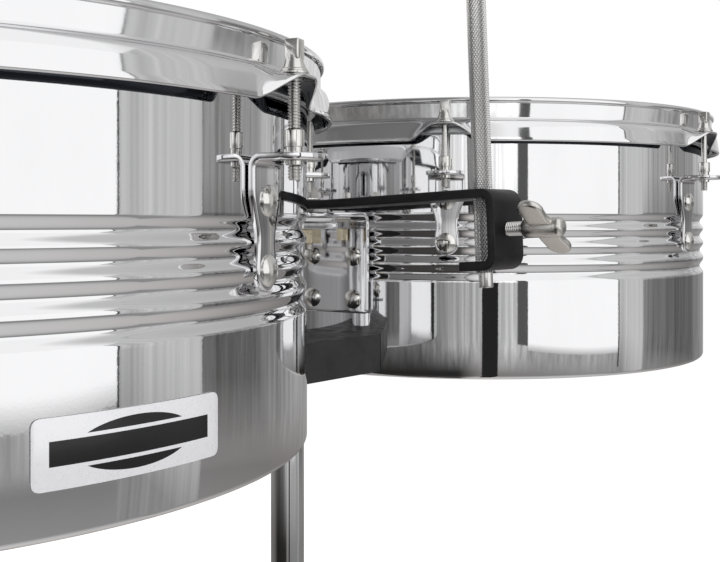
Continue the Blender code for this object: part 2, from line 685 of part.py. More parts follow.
def fork_mesh(low, high):
    """A ring with a pair of ears towards each leg; pivots cross them on PIVOT_OUT."""
    outside = BASE_RADIUS + 6.0 * MM
    ring = tube_mesh(outside, BASE_RADIUS + CLEAR, low, high, 24)
    ears = []
    root = outside - 3.0 * MM
    edge = 2.0 * MM  # the ears stop short of the ring's two rims
    tip = (high - low) / 2.0 - edge
    for angle in LEG_ANGLES:
        for side in (-1.0, 1.0):
            outer_face = side * (EAR_SLOT + EAR_WIDE)
            ear = extruded([(root, low + edge), *arc((PIVOT_OUT, (low + high) / 2.0), tip, -90, 90, 6),
                            (root, high - edge)], EAR_WIDE)
            stand_up = Matrix(((1, 0, 0, 0), (0, 0, -side, outer_face), (0, 1, 0, 0), (0, 0, 0, 1)))
            ears.append(moved(ear, Matrix.Rotation(math.radians(angle), 4, "Z") @ stand_up))
    for mesh in ears:
        fix_normals(mesh)
    return combined(ring, ears)


def fix_normals(mesh):
    shape = bmesh.new()
    shape.from_mesh(mesh)
    bmesh.ops.recalc_face_normals(shape, faces=shape.faces)
    shape.to_mesh(mesh)
    shape.free()


def make_leg_collar():
    """Sliding collar with a wing bolt towards the front."""
    low, high = COLLAR_Z - 15.0 * MM, COLLAR_Z + 15.0 * MM
    root = Matrix.Translation((0.0, -BASE_RADIUS - 4.0 * MM, COLLAR_Z))
    forwards = root @ Matrix.Rotation(math.pi / 2, 4, "X")
    boss = moved(cylinder(BOSS_RADIUS, 0.0, BOSS_LENGTH, 14), forwards)
    hole = moved(cylinder(BOSS_HOLE, -8.0 * MM, 20.0 * MM, 10), forwards)
    mesh = combined(combined(fork_mesh(low, high), [boss]), [hole], "DIFFERENCE")
    moved(mesh, Matrix.Translation((0.0, 0.0, -COLLAR_Z)))
    placed("leg_collar", mesh, BLACK_PLASTIC, (0.0, 0.0, COLLAR_Z), parent=stand)
    reach = BASE_RADIUS + 15.0 * MM + CLEAR
    wing = wing_screw_mesh(BOSS_SCREW, WING_HUB, 19.0 * MM, 22.0 * MM, reach - BASE_RADIUS - CLEAR)
    placed("collar_wing_bolt", wing, NICKEL, (0.0, -reach, COLLAR_Z), parent=stand)


make_leg_collar()


def make_leg_hub():
    """Fixed hub closing the foot of the base tube."""
    low, high = HUB_Z - 12.0 * MM, HUB_Z + 12.0 * MM
    placed("leg_hub", fork_mesh(low, high), BLACK_PLASTIC, parent=stand)


make_leg_hub()


def leg_frame(angle, height):
    """An empty on a pivot: local +X points outwards, +Y along the pivot's axis."""
    turn = math.radians(angle)
    out = (PIVOT_OUT * math.cos(turn), PIVOT_OUT * math.sin(turn), height)
    return marker(f"pivot_{angle:.0f}_{height / MM:.0f}", out, (0.0, 0.0, turn), stand)


def leg_mesh(length):
    """Hanging down from its pivot: a flattened eye, then round tube, about the pivot's own place."""
    eye = extruded([*arc((0.0, 0.0), 7.0 * MM, 0, 180, 8), (-7.0 * MM, -24.0 * MM), (7.0 * MM, -24.0 * MM)],
                   8.0 * MM)
    stand_up = Matrix(((1, 0, 0, 0), (0, 0, 1, -4.0 * MM), (0, 1, 0, 0), (0, 0, 0, 1)))
    moved(eye, stand_up)
    fix_normals(eye)
    leg = combined(eye, [cylinder(LEG_RADIUS, -length, -18.0 * MM, 12)])
    return combined(leg, [cylinder(LEG_BORE, -length - 5.0 * MM, -32.0 * MM, 12)], "DIFFERENCE")


def brace_mesh():
    """Flat bar between its two pivot eyes, rising along +Z from its lower pivot."""
    outline = [*arc((0.0, 0.0), BRACE_HALF, 180, 360, 8), *arc((0.0, BRACE_SPAN), BRACE_HALF, 0, 180, 8)]
    bar = extruded(outline, BRACE_THICK)
    stand_up = Matrix(((1, 0, 0, 0), (0, 0, 1, 0), (0, 1, 0, 0), (0, 0, 0, 1)))
    moved(bar, stand_up)
    fix_normals(bar)
    return bar


FOOT_CENTRE = FOOT_RADIUS - FOOT_FLAT
LEG_LENGTH = (COLLAR_Z - FOOT_CENTRE) / math.cos(LEG_LEAN)


def foot_mesh():
    """Rubber ball foot whose socket takes the end of the leg."""
    ball = bmesh.new()
    bmesh.ops.create_uvsphere(ball, u_segments=12, v_segments=7, radius=FOOT_RADIUS)
    mesh = mesh_from(ball)
    sleeve = cylinder(LEG_RADIUS + 3.2 * MM, 0.0, 26.0 * MM, 12)
    socket = cylinder(LEG_RADIUS + 2.0 * CLEAR, -CLEAR, 40.0 * MM, 12)
    floor = extruded([(-0.1, -0.1), (0.1, -0.1), (0.1, 0.1), (-0.1, 0.1)], 0.1)
    moved(floor, Matrix.Rotation(LEG_LEAN, 4, "Y") @ Matrix.Translation((0.0, 0.0, -0.1 - FOOT_CENTRE)))
    return combined(combined(mesh, [sleeve]), [socket, floor], "DIFFERENCE")


def make_legs():
    for k, angle in enumerate(LEG_ANGLES):
        collar_pivot = leg_frame(angle, COLLAR_Z)
        hub_pivot = leg_frame(angle, HUB_Z)
        lean = (0.0, -LEG_LEAN, 0.0)
        leg = placed(f"leg_{k + 1}", leg_mesh(LEG_LENGTH), CHROME, turn=lean, parent=collar_pivot)
        placed(f"foot_{k + 1}", foot_mesh(), RUBBER, (0.0, 0.0, -LEG_LENGTH), parent=leg)
        side = LEG_RADIUS + 0.6 * MM
        placed(f"brace_{k + 1}", brace_mesh(), CHROME, (0.0, side, 0.0), (0.0, LEG_LEAN, 0.0), hub_pivot)


make_legs()


def centre_on_floor():
    """Move the stand so that its box stands on Z = 0 with the origin at the middle of its base."""
    bpy.context.view_layer.update()
    corners = [piece.matrix_world @ vertex.co for piece in bpy.data.objects if piece.type == "MESH"
               for vertex in piece.data.vertices]
    low = [min(corner[axis] for corner in corners) for axis in range(3)]
    high = [max(corner[axis] for corner in corners) for axis in range(3)]
    stand.location = (-(low[0] + high[0]) / 2.0, -(low[1] + high[1]) / 2.0, -low[2])


centre_on_floor()
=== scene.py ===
"""Looks of a pair of chrome timbales on a folding stand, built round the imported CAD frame.

Metres, +Z up. Heights named *_Z are above the bottom edge of the large drum's shell, and reaches
are measured outwards from a shell's surface, so that both drums share one set of dimensions.
"""

import json
import math

import bmesh
import bpy
import numpy as np
from mathutils import Matrix, Vector

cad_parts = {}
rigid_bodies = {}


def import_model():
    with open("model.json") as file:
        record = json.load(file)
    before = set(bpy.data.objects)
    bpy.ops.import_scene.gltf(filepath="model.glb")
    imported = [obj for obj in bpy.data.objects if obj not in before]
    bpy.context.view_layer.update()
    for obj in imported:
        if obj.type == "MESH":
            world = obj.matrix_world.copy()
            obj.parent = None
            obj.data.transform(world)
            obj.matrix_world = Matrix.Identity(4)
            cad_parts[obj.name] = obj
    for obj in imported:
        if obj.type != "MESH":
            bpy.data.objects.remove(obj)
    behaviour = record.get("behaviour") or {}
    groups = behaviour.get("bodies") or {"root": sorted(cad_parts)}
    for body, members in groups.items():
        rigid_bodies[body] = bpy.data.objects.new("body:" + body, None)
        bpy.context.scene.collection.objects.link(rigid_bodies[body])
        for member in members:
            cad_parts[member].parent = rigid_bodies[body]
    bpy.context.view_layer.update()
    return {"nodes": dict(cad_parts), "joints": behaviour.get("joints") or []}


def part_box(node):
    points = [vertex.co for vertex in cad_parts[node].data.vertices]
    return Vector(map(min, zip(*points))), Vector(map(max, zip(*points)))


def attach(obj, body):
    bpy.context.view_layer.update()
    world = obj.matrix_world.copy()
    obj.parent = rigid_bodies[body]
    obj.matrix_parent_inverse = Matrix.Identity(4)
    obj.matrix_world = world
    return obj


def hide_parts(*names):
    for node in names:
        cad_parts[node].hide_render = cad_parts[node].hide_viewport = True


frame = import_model()

MM = 0.001

# Shells and heads
WALL = 1.2 * MM
SHELL_DEPTH = 160.0 * MM
GROOVES = [60.2 * MM, 71.3 * MM, 82.0 * MM, 92.1 * MM]
GROOVE_HALF = 5.2 * MM
GROOVE_DEPTH = 2.5 * MM
BIG_GROOVE_LIFT = 2.8 * MM  # the photograph shows them this much higher than the CAD does
CURL = 2.4 * MM  # radius of the bottom edge, rolled inwards
CURL_LIP = 5.0 * MM
FILM_THICK = 0.4 * MM
FILM_RISE = 0.75 * MM  # top of the film above the shell
FILM_BEND = 1.6 * MM
FLESH_HOOP = (146.3 * MM, 151.1 * MM)

# Hoops
HOOP_SHEET = 1.7 * MM
BEAD = 1.95 * MM
BEAD_AT = (5.8 * MM, 166.5 * MM)
EAR_FLAT = 4.5 * MM  # half the width over which an ear is fully out
EAR_BLEND = 24.0 * MM  # where the skirt starts to swing out
EAR_STEPS = 24

# Bolts and lugs
BOLT_OUT = 13.7 * MM
THREAD_RADIUS = 2.5 * MM
THREAD_DEPTH = 0.5 * MM
THREAD_PITCH = 1.2 * MM
BOLT_END_Z = 113.0 * MM
WASHER_Z = 152.45 * MM
HEAD_TOP_Z = 165.6 * MM
HEAD_SIDE = 5.9 * MM
SHANK_RADIUS = 1.85 * MM
BARREL = (118.6 * MM, 131.9 * MM)
LUG_SHEET = 2.6 * MM
LUG_FACE = 0.35 * MM  # gap between lug and shell
LUG_BOTTOM_Z = 71.4 * MM
LUG_TOP_Z = 125.4 * MM
LUG_WIDE = 11.4 * MM
LUG_NECK = 6.7 * MM
LUG_FOOT = 7.6 * MM
LUG_BEND = 5.0 * MM
RIVET_HEIGHTS = [79.2 * MM, 105.5 * MM]
RIVET_RADIUS = 6.1 * MM

# Bracket and arm
PLATE_Z = 93.2 * MM
PLATE_THICK = 4.0 * MM
PLATE_HALF = 26.5 * MM
FLANGE_SHEET = 2.8 * MM
FLANGE_GAP = 0.3 * MM
BRACKET_FOOT_Z = 39.6 * MM
SCREW_ACROSS = 16.0 * MM
SCREW_HEIGHTS = [48.5 * MM, 75.5 * MM]
CLAMP_SPACING = 17.0 * MM
CLAMP_HOLE = 3.4 * MM
ARM_TOP_Z = 110.0 * MM
ARM_THICK = 4.8 * MM
ARM_HALF = 14.2 * MM
ARM_KNEE = -38.0 * MM
ARM_BACK = 33.0 * MM
ARM_RISE = math.radians(2.4)
ARM_LENGTH = 116.5 * MM
ARM_DROP = 42.0 * MM
ARM_LIP = 22.6 * MM
ARM_BEND = 8.0 * MM
ROD_FROM_FACE = 15.0 * MM
ROD_RADIUS = 5.2 * MM
ROD_TIP_RADIUS = 3.7 * MM
KNURL_DEPTH = 0.45 * MM
WING_TURN = math.radians(57.0)

# Badge: half widths and half heights of its print
BADGE_WIDE = 73.2 * MM
BADGE_OVAL = (23.0 * MM, 8.6 * MM)
BADGE_BAR = (31.0 * MM, 3.9 * MM)
BADGE_RIM = (32.4 * MM, 5.1 * MM)

# Tripod
LEG_RADIUS = 8.0 * MM
FOOT_RADIUS = 12.5 * MM
FOOT_FLAT = 0.9 * MM
LEG_LEAN = math.radians(45.0)
BRACE_SPAN = 200.0 * MM

# Camera and stage, on the floor plan from the post
CAMERA_AT = Vector((-464.5, -437.6, 97.7)) * MM
CAMERA_TURN = math.radians(-50.65)
PANEL_Y = -2.1
PANEL_TOP = 1.2


# Places read from the frame

def middle(node):
    low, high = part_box(node)
    return (low + high) / 2.0


def joint_place(name):
    for joint in frame["joints"]:
        if joint["name"] == name:
            return Vector(joint["pos_m"])
    raise KeyError(name)


POST = middle("post_tube").to_2d()
BASE_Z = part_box("big_shell")[0].z
ORIGIN = Vector((POST.x, POST.y, BASE_Z))  # on the post's axis, level with the shells' bottoms


class Drum:
    """Centre, radius and the directions of one drum's lugs."""

    def __init__(self, side, lugs):
        low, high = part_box(f"{side}_shell")
        self.side = side
        self.lugs = lugs
        self.centre = Vector(((low.x + high.x) / 2.0, (low.y + high.y) / 2.0, BASE_Z))
        self.raised = high.z - BASE_Z - SHELL_DEPTH
        self.lift = self.raised if side == "small" else BIG_GROOVE_LIFT
        self.works = self.centre + Vector((0.0, 0.0, self.raised))
        self.radius = (high.x - low.x) / 2.0
        self.angles = []
        for number in range(1, lugs + 1):
            away = middle(f"{side}_bolt_{number}") - self.centre
            self.angles.append(math.atan2(away.y, away.x))

    def at(self, angle, reach=0.0, height=0.0):
        """Matrix that puts local +X outwards at this angle, this far from the drum's axis."""
        spot = Matrix.Translation((reach, 0.0, height))
        return Matrix.Translation(self.works) @ Matrix.Rotation(angle, 4, "Z") @ spot


BIG = Drum("big", 8)
SMALL = Drum("small", 6)


# Materials

def add(tree, kind, *inputs, **settings):
    """New node. Each input is a socket to link, a plain value, or None to leave it alone."""
    node = tree.nodes.new("ShaderNode" + kind)
    for name, value in settings.items():
        setattr(node, name, value)
    for socket, value in zip(node.inputs, inputs):
        if isinstance(value, bpy.types.NodeSocket):
            tree.links.new(value, socket)
        elif value is not None:
            socket.default_value = value
    return node


def own_place(tree):
    """Position in the object's own metres."""
    return add(tree, "TexCoord").outputs["Object"]


def calc(tree, operation, *values):
    return add(tree, "Math", *values, operation=operation).outputs[0]


def vector_calc(tree, operation, *values):
    return add(tree, "VectorMath", *values, operation=operation).outputs


def mixed(tree, share, first, second, blend="MIX"):
    return add(tree, "MixRGB", share, first, second, blend_type=blend).outputs["Color"]


def spread(tree, value, low, high, start=0.3, end=0.7):
    """Map a value from the range start to end, to the range low to high."""
    return add(tree, "MapRange", value, start, end, low, high).outputs["Result"]


def ramp(tree, value, stops):
    """Colour that runs through (position, colour) stops."""
    node = add(tree, "ValToRGB", value)
    elements = node.color_ramp.elements
    while len(elements) < len(stops):
        elements.new(0.5)
    for element, (position, colour) in zip(elements, sorted(stops)):
        element.position = position
        element.color = (*colour, 1.0)
    return node.outputs["Color"]


def noise(tree, scale, detail=3.0, stretch=(1.0, 1.0, 1.0), roughness=0.5):
    """Noise in the object's own metres, optionally stretched."""
    place = add(tree, "Mapping", own_place(tree), None, None, stretch).outputs["Vector"]
    return add(tree, "TexNoise", place, None, scale, detail, roughness).outputs["Fac"]


def tint(tree, shader, value, dark, light):
    """Vary the base colour between two colours."""
    tree.links.new(ramp(tree, value, [(0.3, dark), (0.7, light)]), shader.inputs["Base Color"])


def bump(tree, shader, value, strength, distance, before=None):
    """Raise the surface by a value, on top of an earlier bump if there is one."""
    node = add(tree, "Bump", strength, distance)
    tree.links.new(value, node.inputs["Height"])
    if before is not None:
        tree.links.new(before, node.inputs["Normal"])
    tree.links.new(node.outputs["Normal"], shader.inputs["Normal"])
    return node.outputs["Normal"]


def new_material(name, colour, metallic, roughness, extras=()):
    """Principled material, with its tree and shader. Extras are (input's name, value)."""
    made = bpy.data.materials.new(name)
    made.use_nodes = True
    shader = made.node_tree.nodes["Principled BSDF"]
    for socket, value in (("Base Color", (*colour, 1.0)), ("Metallic", metallic),
                          ("Roughness", roughness), *extras):
        shader.inputs[socket].default_value = value
    return made, made.node_tree, shader


def chrome_material(name, low, high, wave):
    """Mirror plating with a little haze, and sheet that is never quite flat."""
    colour = (0.84, 0.84, 0.85)
    made, tree, shader = new_material(name, colour, 1.0, 0.04)
    haze = noise(tree, 38.0, 4.0, (1.0, 1.0, 0.35))
    tree.links.new(spread(tree, haze, low, high), shader.inputs["Roughness"])
    tint(tree, shader, haze, tuple(0.96 * part for part in colour), colour)
    first = bump(tree, shader, noise(tree, 14.0, 1.0, (1.0, 1.0, 0.3)), wave, 0.0008)
    bump(tree, shader, noise(tree, 900.0, 2.0), 0.02, 0.0001, first)
    return made


def hoop_material():
    """Plating on the outside of the hoop, with painted shade on the back of its skirt and under its ears:
    below a height of 152 mm, faces turned inwards and faces turned down get a dark base colour.
    """
    made = chrome_material("hoop_chrome_painted_shade", 0.03, 0.09, 0.10)
    tree = made.node_tree
    colour = tree.nodes["Principled BSDF"].inputs["Base Color"]
    place = add(tree, "TexCoord")
    height = add(tree, "SeparateXYZ", place.outputs["Object"]).outputs["Z"]
    flat = vector_calc(tree, "MULTIPLY", place.outputs["Object"], (1.0, 1.0, 0.0))[0]
    outwards = vector_calc(tree, "NORMALIZE", flat)[0]
    outwards_and_up = vector_calc(tree, "ADD", outwards, (0.0, 0.0, 1.0))[0]
    facing = vector_calc(tree, "DOT_PRODUCT", outwards_and_up, place.outputs["Normal"])["Value"]
    behind = spread(tree, facing, 1.0, 0.0, -0.75, -0.45)
    below = spread(tree, height, 1.0, 0.0, 152.0 * MM, 153.0 * MM)
    share = calc(tree, "MULTIPLY", behind, below)
    # painted shade: dark base colour mixed in on the back of the skirt and under the ears
    painted_shade = mixed(tree, share, colour.links[0].from_socket, (0.05, 0.055, 0.065, 1.0))
    tree.links.new(painted_shade, colour)
    return made


def nickel_material(name, colour, low, high, marks=0.03):
    """Duller plating on turned and pressed fittings, with fine turning marks."""
    made, tree, shader = new_material(name, colour, 1.0, 0.15)
    cloud = noise(tree, 220.0, 4.0)
    tree.links.new(spread(tree, cloud, low, high), shader.inputs["Roughness"])
    tint(tree, shader, cloud, tuple(0.88 * part for part in colour), colour)
    bump(tree, shader, noise(tree, 1600.0, 2.0, (1.0, 1.0, 3.0)), marks, 0.0001)
    return made


def knurl_material(radius, depth):
    """Steel with painted shade in the grooves of its knurling: its colour darkens towards the groove bottoms,
    where it is also least glossy, and its points are rubbed glossy and are the brightest.
    """
    made, tree, shader = new_material("knurled_steel_painted_shade", (0.9, 0.9, 0.9), 1.0, 0.2)
    flat = vector_calc(tree, "MULTIPLY", own_place(tree), (1.0, 1.0, 0.0))[0]
    reach = vector_calc(tree, "LENGTH", flat)["Value"]
    share = spread(tree, reach, 0.0, 1.0, radius - depth, radius - 0.1 * depth)
    # painted shade: base colour darker towards the bottoms of the grooves
    tint(tree, shader, share, (0.68, 0.675, 0.67), (0.97, 0.97, 0.97))
    tree.links.new(spread(tree, share, 0.34, 0.14, 0.0, 1.0), shader.inputs["Roughness"])
    bump(tree, shader, noise(tree, 1500.0, 2.0), 0.04, 0.0001)
    return made


def grained_material(name, gloss, shades, grain, extras=()):
    """Dull surface. Each part is its noise's scale and detail, and the two values it runs between.

    For the grain, those two are the bump's strength and its depth.
    """
    made, tree, shader = new_material(name, shades[3], 0.0, gloss[3], extras)
    rough = spread(tree, noise(tree, *gloss[:2]), *gloss[2:])
    tree.links.new(rough, shader.inputs["Roughness"])
    tint(tree, shader, noise(tree, *shades[:2]), *shades[2:])
    bump(tree, shader, noise(tree, *grain[:2]), *grain[2:])
    return made


SHEET_CHROME = chrome_material("sheet_chrome", 0.03, 0.09, 0.12)
SHELL_CHROME = chrome_material("shell_chrome", 0.015, 0.05, 0.10)
TUBE_CHROME = chrome_material("tube_chrome", 0.03, 0.08, 0.05)
HOOP_CHROME_PAINTED_SHADE = hoop_material()
NICKEL = nickel_material("nickel", (0.83, 0.82, 0.79), 0.07, 0.15)
STEEL = nickel_material("bright_steel", (0.78, 0.77, 0.75), 0.14, 0.26)
KNURL = knurl_material(ROD_RADIUS, KNURL_DEPTH)
WING = nickel_material("wing_nickel", (0.78, 0.76, 0.72), 0.22, 0.32, 0.02)
BRASS = nickel_material("brass", (0.88, 0.78, 0.58), 0.10, 0.20)
ALUMINIUM = nickel_material("aluminium", (0.76, 0.77, 0.78), 0.25, 0.4)
COAT = grained_material(
    "black_coat", (60.0, 3.0, 0.28, 0.42), (90.0, 3.0, (0.004, 0.004, 0.005), (0.009, 0.009, 0.010)),
    (1300.0, 3.0, 0.18, 0.0002), [("Specular IOR Level", 0.3)])
PLASTIC = grained_material(
    "black_plastic", (120.0, 4.0, 0.38, 0.58), (50.0, 3.0, (0.008, 0.008, 0.009), (0.018, 0.018, 0.019)),
    (2200.0, 2.0, 0.25, 0.0002))
RUBBER = grained_material(
    "rubber", (200.0, 4.0, 0.7, 0.95), (70.0, 4.0, (0.014, 0.014, 0.014), (0.036, 0.035, 0.034)),
    (900.0, 4.0, 0.4, 0.0004))
FILM = grained_material(  # coated drumhead: milky film under a fine sprayed texture
    "head_film", (30.0, 3.0, 0.42, 0.62), (9.0, 4.0, (0.82, 0.81, 0.77), (0.90, 0.89, 0.86)),
    (1500.0, 2.0, 0.35, 0.0002),
    [("Subsurface Weight", 0.15), ("Subsurface Radius", (0.003, 0.003, 0.0025))])


# Mesh tools

def to_mesh(shape, outwards=True):
    """End a bmesh and return its mesh, with normals turned outwards if asked."""
    if outwards:
        bmesh.ops.recalc_face_normals(shape, faces=shape.faces)
    mesh = bpy.data.meshes.new("shape")
    shape.to_mesh(mesh)
    shape.free()
    return mesh


def mesh_from_rows(rows, wrap_rows=False, caps=False):
    """Skin a list of rings. Each ring is a list of points, and neighbouring rings are joined."""
    rows = np.asarray(rows, float)
    count, size = rows.shape[:2]
    shape = bmesh.new()
    verts = [[shape.verts.new(point) for point in row] for row in rows]
    for i in range(count if wrap_rows else count - 1):
        here, there = verts[i], verts[(i + 1) % count]
        for j in range(size):
            k = (j + 1) % size
            shape.faces.new((here[j], here[k], there[k], there[j]))
    if caps:
        shape.faces.new(verts[0])
        shape.faces.new(verts[-1])
    bmesh.ops.remove_doubles(shape, verts=shape.verts, dist=1e-7)
    flat = [face for face in shape.faces if face.calc_area() < 1e-16]
    bmesh.ops.delete(shape, geom=flat, context="FACES_ONLY")
    return to_mesh(shape)


def lathe(outline, segments=64):
    """Spin a closed outline of (radius, height) points about Z."""
    turns = np.linspace(0.0, 2.0 * math.pi, segments, endpoint=False)
    rows = [[(r * math.cos(t), r * math.sin(t), z) for t in turns] for r, z in outline]
    on_axis = outline[0][0] == 0.0 and outline[-1][0] == 0.0
    return mesh_from_rows(rows, wrap_rows=not on_axis)


def above(base, *points):
    """Outline points given in millimetres, out from the axis and above a base height."""
    return [(MM * reach, base + MM * height) for reach, height in points]


def arc(centre, radius, start, end, steps=6):
    """Points of an arc, angles in degrees, both ends included."""
    turns = [math.radians(start + (end - start) * i / steps) for i in range(steps + 1)]
    return [(centre[0] + radius * math.cos(t), centre[1] + radius * math.sin(t)) for t in turns]


def smooth(value):
    value = min(max(value, 0.0), 1.0)
    return value * value * (3.0 - 2.0 * value)


def rounded(points, radius, steps=4):
    """A closed outline with each corner rounded, by the radius or by what its sides allow."""
    out = []
    count = len(points)
    for i, point in enumerate(points):
        here = Vector(point)
        before = Vector(points[i - 1]) - here
        after = Vector(points[(i + 1) % count]) - here
        reach = min(radius, 0.45 * before.length, 0.45 * after.length)
        start = here + before.normalized() * reach
        end = here + after.normalized() * reach
        for k in range(steps + 1):
            t = k / steps
            out.append(tuple((1 - t) ** 2 * start + 2 * t * (1 - t) * here + t * t * end))
    return out


def oblong(left, low, right, high, radius=0.0, steps=3):
    """Outline of a rectangle, its corners rounded by the radius if there is one."""
    corners = [(left, low), (right, low), (right, high), (left, high)]
    return rounded(corners, radius, steps) if radius else corners


def ring_mesh(inner, outer, low, high, edge=0.3 * MM, segments=64):
    return lathe(oblong(inner, low, outer, high, edge), segments)


def turned_solid(outline, edge):
    """Lathe of an outline that starts and ends on the axis, its other corners rounded."""
    between = [point for point in rounded(outline, edge, 3) if point[0] > 1e-7]
    return lathe([outline[0], *between, outline[-1]])


def edge_layers(low_edge, high_edge, thickness, steps):
    """(inset, height) of the layers that round the lower and upper edges of a plate."""
    turns = [math.pi / 2 * k / steps for k in range(steps + 1)]
    lower = [(low_edge * (1 - math.sin(t)), low_edge * (1 - math.cos(t))) for t in turns]
    upper = [(high_edge * (1 - math.sin(t)), thickness - high_edge * (1 - math.cos(t)))
             for t in reversed(turns)]
    return lower + upper


def prism(outline, low, high, edge=0.4 * MM, steps=3):
    """An (x, y) outline raised along Z, with its top and bottom edges rounded by shrinking it."""
    points = [Vector(point) for point in outline]
    count = len(points)
    area = sum(points[i - 1].cross(points[i]) for i in range(count))
    side = 1.0 if area >= 0 else -1.0
    normals = []
    for i in range(count):
        along = (points[(i + 1) % count] - points[i - 1]).normalized()
        normals.append(Vector((along.y, -along.x)) * side)
    rows = []
    for inset, height in edge_layers(edge, edge, high - low, steps):
        rows.append([(*(point - normal * inset), low + height) for point, normal in zip(points, normals)])
    return mesh_from_rows(rows, caps=True)


def distances_along(points):
    return np.concatenate([[0.0], np.cumsum(np.linalg.norm(np.diff(points, axis=0), axis=1))])


def resampled(values, distances, wanted):
    """(x, z) values known at some distances, at the wanted distances."""
    values = np.asarray(values, float)
    return np.stack([np.interp(wanted, distances, values[:, axis]) for axis in (0, 1)], axis=1)


def stations(total, first, last, steps, between):
    """Distances along a strip, packed closely within its first and last stretches."""
    ease = 1 - np.cos(np.linspace(0.0, 1.0, steps) * math.pi / 2)
    return np.unique(np.round(np.concatenate([first * ease, between, total - last * ease]), 7))


def ribbon(points, normals, wanted, half_width, thickness, edge, back_edge, steps=3):
    """Flat strip bent in the XZ plane, its width along Y.

    The points are (x, z) along the middle of its back face, and the normals point to its front.
    It gets a cross-section at each wanted distance, and half_width(distance, inset, total) gives
    its outline.
    """
    distances = distances_along(points)
    points = resampled(points, distances, wanted)
    normals = resampled(normals, distances, wanted)
    distances = distances_along(points)
    total = distances[-1]
    shape = bmesh.new()
    sheets = []
    for inset, height in edge_layers(back_edge, edge, thickness, steps):
        along = inset + distances / total * (total - 2 * inset)
        spots = resampled(points, distances, along)
        fronts = resampled(normals, distances, along)
        fronts /= np.linalg.norm(fronts, axis=1)[:, None]
        left, right = [], []
        for place, (x, z) in zip(along, spots + fronts * height):
            half = max(half_width(place, inset, total), 0.0)
            left.append(shape.verts.new((x, half, z)))
            right.append(shape.verts.new((x, -half, z)))
        sheets.append((left, right))
    for (left_a, right_a), (left_b, right_b) in zip(sheets, sheets[1:]):
        for i in range(len(distances) - 1):
            shape.faces.new((left_a[i], left_a[i + 1], left_b[i + 1], left_b[i]))
            shape.faces.new((right_a[i], right_b[i], right_b[i + 1], right_a[i + 1]))
        shape.faces.new((left_a[0], left_b[0], right_b[0], right_a[0]))
        shape.faces.new((left_a[-1], right_a[-1], right_b[-1], left_b[-1]))
    for left, right in (sheets[0], sheets[-1]):
        for i in range(len(distances) - 1):
            shape.faces.new((left[i], right[i], right[i + 1], left[i + 1]))
    bmesh.ops.remove_doubles(shape, verts=shape.verts, dist=1e-7)
    return to_mesh(shape)


def joined(meshes):
    """Several closed shapes in one mesh."""
    shape = bmesh.new()
    for mesh in meshes:
        shape.from_mesh(mesh)
    return to_mesh(shape, outwards=False)


def moved(mesh, matrix):
    mesh.transform(matrix)
    return mesh


def hole(radius, low, high, matrix):
    """Cutter for a round hole."""
    return moved(lathe([(0.0, low), (radius, low), (radius, high), (0.0, high)], 40), matrix)


def boolean(base, others, operation):
    """Exact Boolean of meshes, returned as a new mesh."""
    shown = bpy.context.scene.collection.objects
    body = bpy.data.objects.new("body", base)
    shown.link(body)
    tools = []
    for other in others:
        tool = bpy.data.objects.new("tool", other)
        shown.link(tool)
        tools.append(tool)
        step = body.modifiers.new("step", "BOOLEAN")
        step.operation = operation
        step.object = tool
    bpy.context.view_layer.update()
    graph = bpy.context.evaluated_depsgraph_get()
    result = bpy.data.meshes.new_from_object(body.evaluated_get(graph))
    for helper in [body, *tools]:
        bpy.data.objects.remove(helper, do_unlink=True)
    return result


def piece(name, mesh, finish, body, matrix, nodes=(), sharp=35.0):
    """A shown piece that rides on a body, and may stand for CAD nodes."""
    mesh.materials.clear()
    mesh.materials.append(finish)
    mesh.shade_smooth()
    mesh.set_sharp_from_angle(angle=math.radians(sharp))
    made = bpy.data.objects.new(name, mesh)
    bpy.context.scene.collection.objects.link(made)
    made.matrix_world = matrix
    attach(made, body)
    if nodes:
        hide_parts(*nodes)


def fitting(name, mesh, finish, matrix, sharp=35.0):
    """A small bright piece fixed to the mast."""
    piece(name, mesh, finish, "mast", matrix, sharp=sharp)


# Shells and heads

def groove(height):
    """How far the shell's surface lies in at this height."""
    depth = 0.0
    for centre in GROOVES:
        away = abs(height - centre)
        if away < GROOVE_HALF:
            depth += GROOVE_DEPTH * 0.5 * (1.0 + math.cos(math.pi * away / GROOVE_HALF))
    return depth


def shell_mesh(drum):
    """Rolled bottom edge, grooved wall and plain top edge."""
    radius, top = drum.radius, SHELL_DEPTH + drum.raised
    low, high = GROOVES[0] - GROOVE_HALF, GROOVES[-1] + GROOVE_HALF
    heights = [20.0 * MM, 40.0 * MM, low - 1.0 * MM, *np.linspace(low, high, 90),
               high + 1.0 * MM, 120.0 * MM, 145.0 * MM, top - drum.lift - 0.5 * MM]
    wall_line = [(radius - groove(height), height + drum.lift) for height in heights]
    outline = arc((radius - CURL, CURL), CURL, -90, 0)
    outline += wall_line
    outline += [(radius - 0.3 * MM, top), (radius - WALL, top - 0.3 * MM)]
    outline += [(reach - WALL, height) for reach, height in reversed(wall_line)]
    outline += arc((radius - CURL, CURL), CURL - WALL, 0, -90, 4)
    outline += [(radius - CURL - CURL_LIP, WALL), (radius - CURL - CURL_LIP, 0.0)]
    return lathe(outline, 288)


def head_meshes(radius):
    """The film, domed over the shell's edge and down to its ring, and the ring itself."""
    top = SHELL_DEPTH + FILM_RISE
    low, high = FLESH_HOOP
    bend = (radius - 0.5 * MM, top - FILM_BEND)
    hem = (radius + 1.1 * MM, high - 0.5 * MM)
    outline = [(0.0, top), (0.3 * radius, top), (0.7 * radius, top), *arc(bend, FILM_BEND, 90, 0),
               hem, (hem[0] - FILM_THICK, hem[1]), *arc(bend, FILM_BEND - FILM_THICK, 0, 90)]
    outline += [(share * radius, top - FILM_THICK) for share in (0.7, 0.3, 0.0)]
    ring = oblong(radius + 0.5 * MM, low, radius + 4.2 * MM, high, 0.8 * MM, 4)
    return lathe(outline, 192), lathe(ring, 192)


